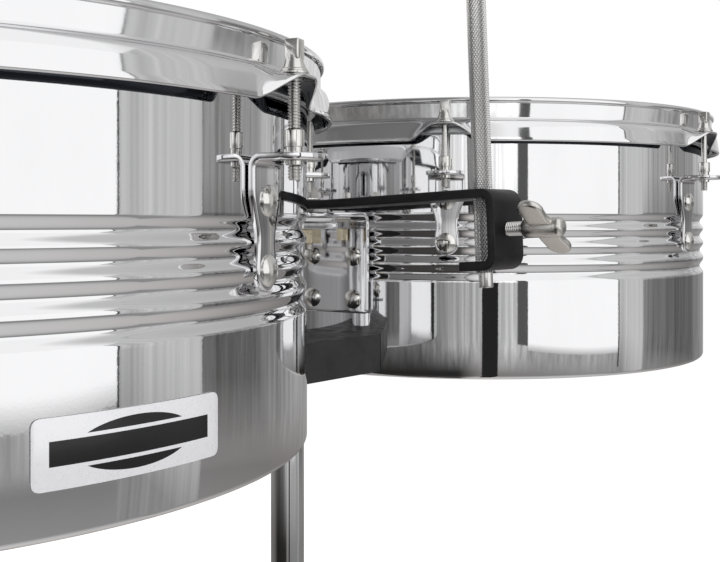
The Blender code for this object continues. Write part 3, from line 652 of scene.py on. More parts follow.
def make_drum_body(drum):
    piece(f"{drum.side}_shell_plated", shell_mesh(drum), SHELL_CHROME, "mast",
          Matrix.Translation(drum.centre), [f"{drum.side}_shell"], 40.0)
    film, ring = head_meshes(drum.radius)
    place = Matrix.Translation(drum.works)
    piece(f"{drum.side}_head_film", film, FILM, "mast", place, [f"{drum.side}_head"])
    fitting(f"{drum.side}_flesh_hoop", ring, ALUMINIUM, place)


# Hoops

def hoop_profile(ear):
    """Closed outline of the hoop's sheet, for a plain stretch 0 to an ear 1."""
    plain = above(0.0, (5.25, 164.6), (5.25, 156.2), (5.5, 154.9), (6.3, 154.0), (7.6, 153.4), (8.5, 152.6),
                  (8.95, 151.4), (9.35, 149.2), (9.8, 146.4), (10.25, 143.8), (10.55, 141.9))
    out = above(0.0, (5.25, 164.6), (5.25, 156.2), (5.4, 154.9), (5.9, 153.8), (6.8, 152.8), (7.9, 152.1),
                (9.2, 151.6), (11.0, 151.4), (13.5, 151.35), (16.5, 151.35), (19.6, 151.35))
    centre = [Vector(a).lerp(Vector(b), ear) for a, b in zip(plain, out)]
    half = HOOP_SHEET / 2.0
    outer, inner = [], []
    for i, point in enumerate(centre):
        along = (centre[min(i + 1, len(centre) - 1)] - centre[max(i - 1, 0)]).normalized()
        side = Vector((-along.y, along.x)) * half
        outer.append(tuple(point + side))
        inner.append(tuple(point - side))
    tip = [tuple(point + side * math.cos(t) + along * half * math.sin(t))
           for t in (math.pi * k / 4 for k in (1, 2, 3))]
    return arc(BEAD_AT, BEAD, 232, -52, 16) + outer + tip + inner[::-1]


def hoop_mesh(drum):
    """Rings of the profile, packed closely round each ear."""
    profiles = np.array([hoop_profile(k / EAR_STEPS) for k in range(EAR_STEPS + 1)])
    bolt_circle = drum.radius + BOLT_OUT
    blend = EAR_BLEND / bolt_circle
    near = np.linspace(-blend, blend, 45)
    far = np.linspace(blend, 2.0 * math.pi / drum.lugs - blend, 26)[1:-1]
    rows = []
    for angle in sorted(drum.angles):
        for turn in (*near, *far):
            ear = smooth((EAR_BLEND - abs(turn) * bolt_circle) / (EAR_BLEND - EAR_FLAT))
            step = min(int(ear * EAR_STEPS), EAR_STEPS - 1)
            share = ear * EAR_STEPS - step
            reach, height = (profiles[step] + (profiles[step + 1] - profiles[step]) * share).T
            reach = reach + drum.radius
            across, back = math.cos(angle + turn), math.sin(angle + turn)
            rows.append(np.stack([reach * across, reach * back, height], axis=1))
    return mesh_from_rows(rows, wrap_rows=True)


def make_hoop(drum):
    piece(f"{drum.side}_hoop_rolled", hoop_mesh(drum), HOOP_CHROME_PAINTED_SHADE, "mast",
          Matrix.Translation(drum.works), [f"{drum.side}_hoop"], 60.0)


# Bolts

def thread_mesh(radius, depth, pitch, low, high, sides=20, per_turn=8):
    """Rod with a real single-start thread and flat ends."""
    count = round((high - low) / (pitch / per_turn))
    rows = []
    for i in range(count + 1):
        height = low + (high - low) * i / count
        fade = min(1.0, 0.35 + min(i, count - i) / per_turn)
        ring = []
        for j in range(sides):
            phase = (height / pitch - j / sides) % 1.0
            crest = smooth(1.0 - abs(2.0 * phase - 1.0) * 1.15)
            reach = (radius - depth + depth * crest) * (0.82 + 0.18 * fade)
            turn = 2.0 * math.pi * j / sides
            ring.append((reach * math.cos(turn), reach * math.sin(turn), height))
        rows.append(ring)
    return mesh_from_rows(rows, caps=True)


def bolt_meshes(threaded):
    """Square head with its flared neck and flange, washer and shank, about the bolt's axis."""
    washer = lathe(oblong(1.9 * MM, WASHER_Z, 5.7 * MM, WASHER_Z + 0.9 * MM, 0.3 * MM), 48)
    flare = [(4.6 - 1.3 * t - 0.3 * math.sin(math.pi * t), 2.05 + 4.9 * t)
             for t in (k / 8.0 for k in range(9))]
    neck = above(WASHER_Z, (0.0, 0.95), (4.95, 0.95), (5.15, 1.25), (5.05, 1.7), (4.75, 2.0),
                 *flare, (0.0, 7.1))
    half = HEAD_SIDE / 2.0
    square = oblong(-half, -half, half, half, 0.8 * MM, 4)
    drive = prism(square, WASHER_Z + 5.2 * MM, HEAD_TOP_Z, 0.8 * MM, 4)
    head = boolean(lathe(neck, 48), [drive], "UNION")
    top = WASHER_Z + 1.2 * MM
    if threaded:
        return head, washer, thread_mesh(THREAD_RADIUS, THREAD_DEPTH, THREAD_PITCH, BOLT_END_Z, top)
    lower = thread_mesh(2.2 * MM, 0.36 * MM, 0.8 * MM, BOLT_END_Z, BARREL[1] - 4.0 * MM)
    start = BARREL[1] - 5.0 * MM
    upper = lathe([(0.0, start), (SHANK_RADIUS, start), (SHANK_RADIUS, top), (0.0, top)], 32)
    return head, washer, joined([lower, upper])


def make_bolts(drum, threaded):
    head, washer, shank = bolt_meshes(threaded)
    for number, angle in enumerate(drum.angles, start=1):
        name = f"{drum.side}_bolt_{number}"
        place = drum.at(angle, drum.radius + BOLT_OUT)
        piece(f"{name}_head", head, NICKEL, name, place, [name], 30.0)
        piece(f"{name}_shank", shank, STEEL, name, place)
        piece(f"{name}_washer", washer, NICKEL, name, place)


# Lugs

def lug_path():
    """Up the shell, round the bend and out, along the back face of the sheet."""
    bend_start = LUG_TOP_Z - LUG_SHEET - LUG_BEND
    start = LUG_FACE + LUG_BEND
    points = [(LUG_FACE, LUG_BOTTOM_Z + (bend_start - LUG_BOTTOM_Z) * k / 60) for k in range(61)]
    normals = [(1.0, 0.0)] * 61
    for x, z in arc((start, bend_start), LUG_BEND, 180, 90, 12)[1:]:
        points.append((x, z))
        normals.append(((start - x) / LUG_BEND, (bend_start - z) / LUG_BEND))
    run = BOLT_OUT + LUG_WIDE - start
    points += [(start + run * k / 30, LUG_TOP_Z - LUG_SHEET) for k in range(1, 31)]
    normals += [(0.0, -1.0)] * 30
    return points, normals


def lug_half_width(place, inset, total):
    """Round foot, narrow neck, broad shoulders and a round tongue."""
    if place < LUG_FOOT:
        return math.sqrt(max((LUG_FOOT - inset) ** 2 - (LUG_FOOT - place) ** 2, 0.0))
    if place > total - LUG_WIDE:
        return math.sqrt(max((LUG_WIDE - inset) ** 2 - (place - total + LUG_WIDE) ** 2, 0.0))
    neck = smooth((place - LUG_FOOT) / (11.0 * MM))
    shoulder = smooth((place - 19.0 * MM) / (19.0 * MM))
    return LUG_FOOT + (LUG_NECK - LUG_FOOT) * neck + (LUG_WIDE - LUG_NECK) * shoulder - inset


def lug_mesh():
    """Made with the sheet's outer (front) face away from the shell and under the tongue."""
    points, normals = lug_path()
    total = distances_along(points)[-1]
    between = np.linspace(LUG_FOOT, total - LUG_WIDE, 70)
    wanted = stations(total, LUG_FOOT, LUG_WIDE, 22, between)
    return ribbon(points, normals, wanted, lug_half_width, LUG_SHEET, 1.1 * MM, 0.3 * MM, 4)


def dome_mesh(radius, height):
    """Rivet or screw head: a crowned cap on a thin skirt, rising along +X from the plane X = 0."""
    skirt = 0.7 * MM
    crown = (radius ** 2 + (height - skirt) ** 2) / (2.0 * (height - skirt))
    top = math.asin(radius / crown)
    outline = [(crown * math.sin(t), height - crown * (1 - math.cos(t)))
               for t in (top * k / 10 for k in range(10))]
    outline += [(radius * 0.995, skirt * 1.05), (radius, skirt * 0.6), (radius, -0.3 * MM), (0.0, -0.3 * MM)]
    return moved(lathe(outline, 40), Matrix.Rotation(math.pi / 2, 4, "Y"))


def barrel_mesh():
    """Threaded sleeve under the lug's tongue, with a collar above it."""
    low, high = BARREL
    step = LUG_TOP_Z + 0.05 * MM
    outline = [(2.65 * MM, high), (3.75 * MM, high - 0.2 * MM), (3.75 * MM, step), (3.3 * MM, step),
               (3.3 * MM, low), (2.65 * MM, low)]
    return lathe(rounded(outline, 0.25 * MM, 3), 40)


def make_lugs(drum):
    plate, rivet, barrel = lug_mesh(), dome_mesh(RIVET_RADIUS, 3.3 * MM), barrel_mesh()
    for number, angle in enumerate(drum.angles, start=1):
        name = f"{drum.side}_lug_{number}"
        piece(f"{name}_plate", plate, SHEET_CHROME, "mast", drum.at(angle, drum.radius),
              [name], 50.0)
        for level, height in zip(("lower", "upper"), RIVET_HEIGHTS):
            place = drum.at(angle, drum.radius + LUG_FACE + LUG_SHEET, height)
            fitting(f"{name}_{level}_rivet", rivet, NICKEL, place, 50.0)
        fitting(f"{name}_barrel", barrel, NICKEL, drum.at(angle, drum.radius + BOLT_OUT))


for each, has_threads in ((BIG, True), (SMALL, False)):
    make_drum_body(each)
    make_hoop(each)
    make_bolts(each, has_threads)
    make_lugs(each)


# Bracket between the drums

ABOUT_TURN = Matrix.Rotation(math.pi, 4, "Z")


def plate_half_width(half, corner):
    """Outline of a bar with square ends whose corners are rounded."""
    def width(place, inset, total):
        near = min(place, total - place)
        if near >= corner:
            return half - inset
        rise = (corner - inset) ** 2 - (corner - near) ** 2
        return half - corner + math.sqrt(max(rise, 0.0))
    return width


def bent_path(points, bends, steps=10):
    """Centre line in the XZ plane with each inner corner rounded, and its left-hand normals."""
    out = [Vector(points[0])]
    for before, here, after, bend in zip(points, points[1:], points[2:], bends):
        here = Vector(here)
        before = (Vector(before) - here).normalized()
        after = (Vector(after) - here).normalized()
        half_turn = before.angle(after) / 2.0
        reach = bend / math.tan(half_turn)
        centre = here + (before + after).normalized() * bend / math.sin(half_turn)
        start = here + before * reach - centre
        end = here + after * reach - centre
        turn = start.angle_signed(end)
        out += [centre + Matrix.Rotation(-turn * k / steps, 2) @ start for k in range(steps + 1)]
    out.append(Vector(points[-1]))
    dense = []
    for a, b in zip(out, out[1:]):
        pieces = max(1, int((b - a).length / (2.0 * MM)))
        dense += [a + (b - a) * k / pieces for k in range(pieces)]
    dense.append(out[-1])
    normals = []
    for i in range(len(dense)):
        along = (dense[min(i + 1, len(dense) - 1)] - dense[max(i - 1, 0)]).normalized()
        normals.append((-along.y, along.x))
    return dense, normals


def bar_mesh(points, bends, half, thickness, corner, edge):
    """Flat bar bent in the XZ plane, its width along Y. It grows to the left of its path."""
    spots, normals = bent_path(points, bends)
    distances = distances_along(spots)
    total = distances[-1]
    between = distances[(distances > corner) & (distances < total - corner)]
    wanted = stations(total, corner, corner, 7, between)
    return ribbon(spots, normals, wanted, plate_half_width(half, corner), thickness, edge, edge)


def cross_screw():
    """Dome screw with a cross recess."""
    slot_cut = prism(oblong(-0.6 * MM, -5.0 * MM, 0.6 * MM, 5.0 * MM), 2.3 * MM, 6.0 * MM, 0.1 * MM, 1)
    moved(slot_cut, Matrix.Rotation(math.pi / 2, 4, "Y"))
    cross_cut = moved(slot_cut.copy(), Matrix.Rotation(math.pi / 2, 4, "X"))
    short = Matrix.Diagonal((1.0, 0.55, 0.55, 1.0))
    cutters = [moved(slot_cut, short), moved(cross_cut, short)]
    return boolean(dome_mesh(RIVET_RADIUS, 3.4 * MM), cutters, "DIFFERENCE")


def make_mount_plate(drum, flange_z, reach):
    """Bent plate: a flange over the post and a leg down the shell, with four dome screws."""
    toward = (drum.centre - ORIGIN).to_2d()
    leg = toward.length - drum.radius - FLANGE_GAP
    # local frame: +X towards the drum, origin on the post's axis
    place = Matrix.Translation(ORIGIN) @ Matrix.Rotation(math.atan2(toward.y, toward.x), 4, "Z")
    top = flange_z + FLANGE_SHEET
    points = [(leg, BRACKET_FOOT_Z), (leg, top), (-reach, top)]
    mesh = bar_mesh(points, [6.0 * MM], PLATE_HALF, FLANGE_SHEET, 2.5 * MM, 0.5 * MM)
    cutters = []
    for y in (-CLAMP_SPACING, CLAMP_SPACING):
        spot = place.inverted() @ Matrix.Translation(ORIGIN + Vector((0.0, y, 0.0)))
        cutters.append(hole(CLAMP_HOLE, flange_z - 4.0 * MM, flange_z + 8.0 * MM, spot))
    name = f"{drum.side}_mount_plate"
    mesh = boolean(mesh, cutters, "DIFFERENCE")
    piece(f"{name}_bent", mesh, SHEET_CHROME, "mast", place, [name], 50.0)
    screw = cross_screw()
    for across_name, across in (("near", -SCREW_ACROSS), ("far", SCREW_ACROSS)):
        for height_name, height in zip(("low", "high"), SCREW_HEIGHTS):
            spot = place @ Matrix.Translation((leg - FLANGE_SHEET, across, height)) @ ABOUT_TURN
            fitting(f"{name}_{height_name}_{across_name}_screw", screw, NICKEL, spot)


def make_top_plate():
    outline = oblong(-18.0 * MM, -PLATE_HALF, 18.0 * MM, PLATE_HALF, 4.0 * MM, 6)
    mesh = prism(outline, PLATE_Z, PLATE_Z + PLATE_THICK, 0.6 * MM)
    piece("stand_top_plate_rounded", mesh, SHEET_CHROME, "mast", Matrix.Translation(ORIGIN),
          ["stand_top_plate"])


def hexagon(across, low, high):
    """Hexagonal nut or head about Z with chamfered corners."""
    reach, chamfer = across / math.sqrt(3.0), 0.5 * MM
    body = prism(arc((0.0, 0.0), reach, 0, 300, 5), low, high, 0.15 * MM, 1)
    cap = lathe([(0.0, low - 1.0 * MM), (reach - chamfer, low - 1.0 * MM), (reach - chamfer, low),
                 (reach + 0.1 * MM, low + chamfer), (reach + 0.1 * MM, high - chamfer),
                 (reach - chamfer, high), (reach - chamfer, high + 1.0 * MM), (0.0, high + 1.0 * MM)], 48)
    return boolean(body, [cap], "INTERSECT")


def make_clamp_bolts():
    """Bolt heads and washers on the arm, brass nuts under the top plate."""
    top = ARM_TOP_Z + 0.3 * MM
    nut_low = 84.8 * MM
    head = hexagon(10.0 * MM, top + 1.5 * MM, top + 7.4 * MM)
    washer = ring_mesh(3.1 * MM, 9.0 * MM, top, top + 1.3 * MM)
    nut = hexagon(13.2 * MM, nut_low, PLATE_Z - 0.3 * MM)
    shank = thread_mesh(3.0 * MM, 0.45 * MM, 1.0 * MM, nut_low - 4.0 * MM, top + 2.0 * MM, 24)
    for end, y in (("front", -CLAMP_SPACING), ("rear", CLAMP_SPACING)):
        place = Matrix.Translation(ORIGIN + Vector((0.0, y, 0.0)))
        name = f"{end}_clamp_bolt"
        piece(f"{name}_head", head, NICKEL, "mast", place, [name])
        fitting(f"{name}_washer", washer, NICKEL, place)
        fitting(f"{name}_shank", shank, STEEL, place)
        fitting(f"{name}_nut", nut, BRASS, place)


BIG_FLANGE_Z = PLATE_Z + PLATE_THICK + FLANGE_GAP
make_mount_plate(BIG, BIG_FLANGE_Z, 15.7 * MM)
make_mount_plate(SMALL, BIG_FLANGE_Z + FLANGE_SHEET + FLANGE_GAP, 14.0 * MM)
make_top_plate()
make_clamp_bolts()


# Cowbell arm, rod and wing bolts

ALONG = Vector((0.0, -math.cos(ARM_RISE), math.sin(ARM_RISE)))
DOWN = Vector((0.0, -math.sin(ARM_RISE), -math.cos(ARM_RISE)))
KNEE = ORIGIN + Vector((0.0, ARM_KNEE, ARM_TOP_Z))
ROD_SPOT = KNEE + ALONG * (ARM_LENGTH - ROD_FROM_FACE)
WING_SPOT = KNEE + ALONG * ARM_LENGTH + DOWN * (ARM_DROP / 2.0)
LEAN = Matrix.Rotation(-ARM_RISE, 4, "X")
FORWARDS = Matrix.Rotation(math.pi / 2, 4, "X")
UPRIGHT = Matrix(((1, 0, 0, 0), (0, 0, -1, 0), (0, 1, 0, 0), (0, 0, 0, 1)))  # exact quarter turn about X
SWAP_XY = Matrix(((0, 1, 0, 0), (1, 0, 0, 0), (0, 0, 1, 0), (0, 0, 0, 1)))


def make_arm():
    """Bar from its back end over the bracket, up a little past the knee, and round the C."""
    corner = KNEE + ALONG * ARM_LENGTH
    lower = corner + DOWN * ARM_DROP
    turns = [KNEE, corner, lower, lower - ALONG * ARM_LIP]
    points = [(ARM_BACK, ARM_TOP_Z)] + [(spot.y, spot.z) for spot in (turn - ORIGIN for turn in turns)]
    mesh = bar_mesh(points, [60.0 * MM, ARM_BEND, ARM_BEND], ARM_HALF, ARM_THICK, 1.2 * MM, 0.9 * MM)
    moved(mesh, SWAP_XY)
    mesh.flip_normals()
    cutters = [hole(5.7 * MM, -80.0 * MM, 40.0 * MM, Matrix.Translation(ROD_SPOT - ORIGIN) @ LEAN),
               hole(4.1 * MM, -8.0 * MM, 12.0 * MM, Matrix.Translation(WING_SPOT - ORIGIN) @ LEAN @ FORWARDS)]
    for y in (-CLAMP_SPACING, CLAMP_SPACING):
        cutters.append(hole(CLAMP_HOLE, ARM_TOP_Z - 10.0 * MM, ARM_TOP_Z + 10.0 * MM,
                            Matrix.Translation((0.0, y, 0.0))))
    piece("cowbell_arm_coated", boolean(mesh, cutters, "DIFFERENCE"), COAT, "mast",
          Matrix.Translation(ORIGIN), ["cowbell_arm"], 40.0)


def knurl_mesh(radius, depth, low, high, starts=22, rise=1.2 * MM):
    """Diamond knurling: grooves cross at every second vertex, peaks stand at the others."""
    columns = 2 * starts
    count = int((high - low) / rise)
    step = (high - low) / count
    shape = bmesh.new()
    rows = []
    for i in range(count + 1):
        ring = []
        for j in range(columns):
            reach = radius if (i + j) % 2 else radius - depth
            turn = 2.0 * math.pi * j / columns
            ring.append(shape.verts.new((reach * math.cos(turn), reach * math.sin(turn), low + step * i)))
        rows.append(ring)
    for i in range(count):
        for j in range(columns):
            k = (j + 1) % columns
            a, b, c, d = rows[i][j], rows[i][k], rows[i + 1][k], rows[i + 1][j]
            # where a is a peak, the valley runs from b to d
            halves = ((a, b, d), (b, c, d)) if (i + j) % 2 else ((a, b, c), (a, c, d))
            for half in halves:
                shape.faces.new(half)
    shape.faces.new(rows[0])
    shape.faces.new(rows[-1])
    return to_mesh(shape)


def make_rod():
    """Knurled rod, with a plain top and a plain tip below the arm."""
    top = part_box("cowbell_rod")[1].z - ROD_SPOT.z - 1.0 * MM
    low = -ARM_DROP - 1.0 * MM
    grip = knurl_mesh(ROD_RADIUS, KNURL_DEPTH, low, top - 2.0 * MM)
    place = Matrix.Translation(ROD_SPOT) @ LEAN
    piece("cowbell_rod_knurled", grip, KNURL, "bell_rod", place, ["cowbell_rod"], 12.0)
    core = ROD_RADIUS - KNURL_DEPTH
    tip = above(low, (0.0, 2.0), (ROD_TIP_RADIUS / MM, 2.0), (ROD_TIP_RADIUS / MM, -8.0), (0.0, -8.0))
    cap = [(0.0, top), (core, top), (core, top - 4.0 * MM), (0.0, top - 4.0 * MM)]
    ends = joined([turned_solid(tip, 0.8 * MM), turned_solid(cap, 1.0 * MM)])
    piece("cowbell_rod_ends", ends, STEEL, "bell_rod", place)


def make_wing_bolt(name, place, screw, hub, span, length, back):
    """Wing screw along +Z from its seat at Z = 0: a threaded screw, and a hub with two wings."""
    thread = thread_mesh(screw, 0.5 * MM, 1.1 * MM, -back, length * 0.34, 28)
    body = [(0.0, length * 0.30), (hub * 0.86, length * 0.30), (hub, length * 0.34), (hub, length - 3.0 * MM),
            *arc((hub - 3.0 * MM, length - 3.0 * MM), 3.0 * MM, 0, 80), (0.0, length + 0.1 * MM)]
    wings = []
    for turn in (0.0, math.pi):
        paddle = [(0.0, length * 0.46), (span * 0.34, length * 0.44),
                  *arc((span - 6.6 * MM, length * 0.66), 6.6 * MM, -75, 110, 12),
                  (span * 0.38, length * 0.84), (0.0, length * 0.90)]
        blade = moved(prism(paddle, -1.9 * MM, 1.9 * MM, 1.5 * MM, 5), UPRIGHT)
        wings.append(moved(blade, Matrix.Rotation(turn, 4, "Z")))
    grip = boolean(lathe(body, 48), wings, "UNION")
    piece(f"{name}_grip", grip, WING, name, place, [name], 50.0)
    piece(f"{name}_thread", thread, STEEL, name, place)


make_arm()
make_rod()
make_wing_bolt("rod_wing_bolt", Matrix.Translation(WING_SPOT) @ LEAN @ FORWARDS
               @ Matrix.Rotation(WING_TURN - math.pi / 2, 4, "Z"),
               3.7 * MM, 5.1 * MM, 22.6 * MM, 31.3 * MM, ROD_FROM_FACE - ROD_RADIUS - 0.4 * MM)
for wing_bolt, wing_span, wing_length in (("height_wing_bolt", 20.8 * MM, 23.8 * MM),
                                          ("collar_wing_bolt", 18.8 * MM, 21.8 * MM)):
    seat = joint_place(f"{wing_bolt}_turn")
    make_wing_bolt(wing_bolt, Matrix.Translation(seat) @ FORWARDS, 2.9 * MM, 5.1 * MM, wing_span, wing_length,
                   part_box(wing_bolt)[1].y - seat.y)


# Badge: plain plate with a plain oval and bar, no lettering

def badge_material(inside):
    """White print on foil: a dark oval with a pale rim round a dark bar."""
    made, tree, shader = new_material("badge_face", (0.66, 0.66, 0.68), 0.25, 0.3,
                                      [("Coat Weight", 0.15), ("Coat Roughness", 0.1)])
    split = add(tree, "SeparateXYZ", own_place(tree)).outputs
    across = calc(tree, "MULTIPLY", calc(tree, "ARCTAN2", split["Y"], split["X"]), inside)
    up = split["Z"]

    def oblong_mask(half_wide, half_tall):
        inside_x = calc(tree, "LESS_THAN", calc(tree, "ABSOLUTE", across), half_wide)
        inside_z = calc(tree, "LESS_THAN", calc(tree, "ABSOLUTE", up), half_tall)
        return calc(tree, "MULTIPLY", inside_x, inside_z)

    squares = [calc(tree, "POWER", calc(tree, "ABSOLUTE", calc(tree, "DIVIDE", value, half)), 2.0)
               for value, half in zip((across, up), BADGE_OVAL)]
    oval = calc(tree, "LESS_THAN", calc(tree, "ADD", *squares), 1.0)
    outside = calc(tree, "SUBTRACT", 1.0, oblong_mask(*BADGE_RIM))
    dark = calc(tree, "MAXIMUM", calc(tree, "MULTIPLY", oval, outside), oblong_mask(*BADGE_BAR))
    grain = noise(tree, 400.0, 3.0)
    pale = ramp(tree, grain, [(0.0, (0.64, 0.64, 0.66)), (1.0, (0.68, 0.68, 0.70))])
    tree.links.new(mixed(tree, dark, pale, (0.008, 0.008, 0.009, 1.0)), shader.inputs["Base Color"])
    tree.links.new(spread(tree, grain, 0.26, 0.32), shader.inputs["Roughness"])
    bump(tree, shader, dark, 0.15, 0.0001)
    return made


def make_badge():
    """Thin plate wrapped round the large shell."""
    low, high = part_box("badge")
    away = (low + high) / 2.0 - BIG.centre
    half, half_tall = BADGE_WIDE / 2.0, (high.z - low.z - 0.4 * MM) / 2.0
    inside = BIG.radius + 0.3 * MM
    shape = bmesh.new()
    outline = oblong(-half, -half_tall, half, half_tall, 3.2 * MM, 8)
    shape.from_mesh(prism(outline, 0.0, 0.55 * MM, 0.15 * MM, 2))
    for cut in np.linspace(-half, half, 50)[1:-1]:
        bmesh.ops.bisect_plane(shape, geom=shape.verts[:] + shape.edges[:] + shape.faces[:],
                               plane_co=(cut, 0, 0), plane_no=(1, 0, 0))
    for vertex in shape.verts:
        across, up, out = vertex.co
        reach, turn = inside + out, across / inside
        vertex.co = (reach * math.cos(turn), reach * math.sin(turn), up)
    place = BIG.at(math.atan2(away.y, away.x), 0.0, (low.z + high.z) / 2.0 - BASE_Z)
    piece("badge_plate", to_mesh(shape, outwards=False), badge_material(inside), "mast", place,
          ["badge"])


make_badge()


# Stand: the moulded parts keep their CAD solids, with softened edges

def soften(node, width, angle, segments):
    block = frame["nodes"][node]
    block.data.materials.clear()
    block.data.materials.append(PLASTIC)
    bevel = block.modifiers.new("soft_edges", "BEVEL")
    bevel.width = width
    bevel.segments = segments
    bevel.limit_method = "ANGLE"
    bevel.angle_limit = math.radians(angle)


def make_tube(node, body, wall_thickness):
    low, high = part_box(node)
    radius = (high.x - low.x) / 2.0
    mesh = ring_mesh(radius - wall_thickness, radius, low.z, high.z, 0.4 * MM, 96)
    piece(f"{node}_plated", mesh, TUBE_CHROME, body, Matrix.Translation((*POST, 0.0)), [node])


def leg_mesh(length):
    """Tube that hangs down from a flattened eye, with a tapering neck between them."""
    tube = ring_mesh(6.6 * MM, LEG_RADIUS, -length, -20.0 * MM, 0.5 * MM)
    eye = arc((0.0, 0.0), 7.0 * MM, 0, 180, 16) + above(0.0, (-7, -16), (-6, -26), (6, -26), (7, -16))
    neck = above(0.0, (0, -15), (5, -17), (7.4, -20.5), (7.9, -24), (7.9, -30), (0, -30))
    return joined([tube, moved(prism(eye, -3.9 * MM, 3.9 * MM, 0.7 * MM), UPRIGHT), lathe(neck, 48)])


def foot_mesh(centre_z):
    """Rubber ball with a ribbed sleeve up the leg, flat where it stands on the floor."""
    ball = [(FOOT_RADIUS * math.sin(t), -FOOT_RADIUS * math.cos(t))
            for t in (math.pi * k / 24 for k in range(17))]
    sleeve = LEG_RADIUS + 3.0 * MM
    ribs = [(0.0, 9), (0.0, 12), (-0.8, 13), (0.0, 14), (0.0, 17), (-0.8, 18), (0.0, 19), (0.0, 25),
            (-1.0, 26)]
    ball += [(sleeve + MM * dip, MM * height) for dip, height in ribs]
    ball += [(LEG_RADIUS + 0.2 * MM, 26.0 * MM), (LEG_RADIUS + 0.2 * MM, 0.5 * MM), (0.0, 0.5 * MM)]
    floor = prism(oblong(-0.05, -0.05, 0.05, 0.05), -0.05 - centre_z, -centre_z, 0.1 * MM)
    moved(floor, Matrix.Rotation(LEG_LEAN, 4, "Y"))
    return boolean(lathe(ball), [floor], "DIFFERENCE")


def brace_mesh():
    """Flat bar with round ends, beside the leg."""
    outline = arc((0.0, 0.0), 6.9 * MM, 180, 360, 16) + arc((0.0, BRACE_SPAN), 6.9 * MM, 0, 180, 16)
    bar = prism(outline, 0.0, 2.9 * MM, 0.5 * MM)
    moved(bar, Matrix(((1, 0, 0, 0), (0, 0, 1, LEG_RADIUS + 0.65 * MM), (0, 1, 0, 0), (0, 0, 0, 1))))
    bar.flip_normals()
    return bar


def pin_mesh(far):
    """Rivet along Y with a domed head at each end, the far one this many millimetres out."""
    outline = above(0.0, (0, -9.6), (3, -9.4), (4.2, -8.4), (4.2, -7.8), (2.4, -7.8), (2.4, far), (4.2, far),
                    (4.2, far + 0.6), (3, far + 1.6), (0, far + 1.8))
    return moved(lathe(outline, 32), Matrix.Rotation(-math.pi / 2, 4, "X"))


def make_leg(number):
    """One leg with its foot, brace and pivot pins."""
    top = joint_place(f"leg_{number}_fold")
    foot = joint_place(f"brace_{number}_fold")
    outward = (top.to_2d() - POST).normalized()
    turn = Matrix.Rotation(math.atan2(outward.y, outward.x), 4, "Z")
    centre_z = FOOT_RADIUS - FOOT_FLAT
    length = (top.z - centre_z) / math.cos(LEG_LEAN)
    at_top, at_foot = Matrix.Translation(top) @ turn, Matrix.Translation(foot) @ turn
    hang = at_top @ Matrix.Rotation(-LEG_LEAN, 4, "Y")
    name, brace = f"leg_{number}", f"brace_{number}"
    piece(f"{name}_tube", leg_mesh(length), TUBE_CHROME, name, hang, [name], 40.0)
    piece(f"foot_{number}_rubber", foot_mesh(centre_z), RUBBER, name,
          hang @ Matrix.Translation((0.0, 0.0, -length)), [f"foot_{number}"])
    piece(f"{brace}_bar", brace_mesh(), SHEET_CHROME, brace,
          at_foot @ Matrix.Rotation(LEG_LEAN, 4, "Y"), [brace])
    piece(f"{name}_pin", pin_mesh(7.8), STEEL, "leg_collar", at_top)
    piece(f"{brace}_pin", pin_mesh(11.6), STEEL, "stand", at_foot)


soften("spacer_block", 1.6 * MM, 45.0, 3)
make_tube("post_tube", "mast", 1.8 * MM)
make_tube("base_tube", "stand", 1.5 * MM)
for moulding in ("height_collar", "leg_collar", "leg_hub"):
    soften(moulding, 0.8 * MM, 40.0, 2)
for leg_number in (1, 2, 3):
    make_leg(leg_number)


# Stage: white floor, and panels that only the plating sees

def emission(name, glow):
    """Material that only glows. glow(tree) gives its colour, or None for white, and its strength."""
    made = bpy.data.materials.new(name)
    made.use_nodes = True
    tree = made.node_tree
    tree.nodes.clear()
    add(tree, "OutputMaterial", add(tree, "Emission", *glow(tree)).outputs[0])
    return made


def stage_object(name, mesh, finish, glossy_only=True):
    mesh.materials.append(finish)
    made = bpy.data.objects.new(name, mesh)
    bpy.context.scene.collection.objects.link(made)
    if glossy_only:
        for ray in ("camera", "diffuse", "transmission", "shadow", "volume_scatter"):
            setattr(made, f"visible_{ray}", False)
    return made


def wall(name, start, end, low, high, finish, far_low=None):
    """Upright panel between two places on the floor plan, in the post's frame."""
    far_low = low if far_low is None else far_low
    shape = bmesh.new()
    corners = [(*start, low), (*end, far_low), (*end, high), (*start, high)]
    shape.faces.new([shape.verts.new(ORIGIN + Vector(corner)) for corner in corners])
    return stage_object(name, to_mesh(shape, outwards=False), finish)


def even_glow(level):
    return lambda tree: (None, level)


def height_share(tree, low, high, bottom, top):
    """Map heights above the shells' bottoms, from bottom to top, to the range low to high."""
    height = add(tree, "SeparateXYZ", own_place(tree)).outputs["Z"]
    return spread(tree, height, low, high, BASE_Z + bottom, BASE_Z + top)


def panel_glow(tree):
    """Even light that fades towards its lower edge."""
    return None, height_share(tree, 0.60, 1.12, -0.33, -0.27)


def folds_glow(tree):
    """Hanging cloth seen far off: soft upright folds, dimmer near the ground."""
    folds = spread(tree, noise(tree, 9.0, 3.0, (1.0, 1.0, 0.02), 0.65), 0.44, 0.70, 0.32, 0.68)
    return None, calc(tree, "MULTIPLY", folds, height_share(tree, 0.5, 1.0, -0.42, -0.08))


def grey(level):
    return (level, level, level)


def wall_tone(level):
    """Grey that turns warm where it is dark."""
    warm = 0.10 * max(0.0, 1.0 - level / 0.15)
    return (level, level * (1.0 - warm), level * (1.0 - 2.0 * warm))


def compass(tree, turn, stretches, tone=grey, ends=()):
    """Colour by direction, given as (degrees clockwise from +Y, brightness)."""
    stops = [(((degrees + 180) % 360) / 360.0, tone(level)) for degrees, level in stretches]
    return ramp(tree, turn, stops + [(position, grey(level)) for position, level in ends])


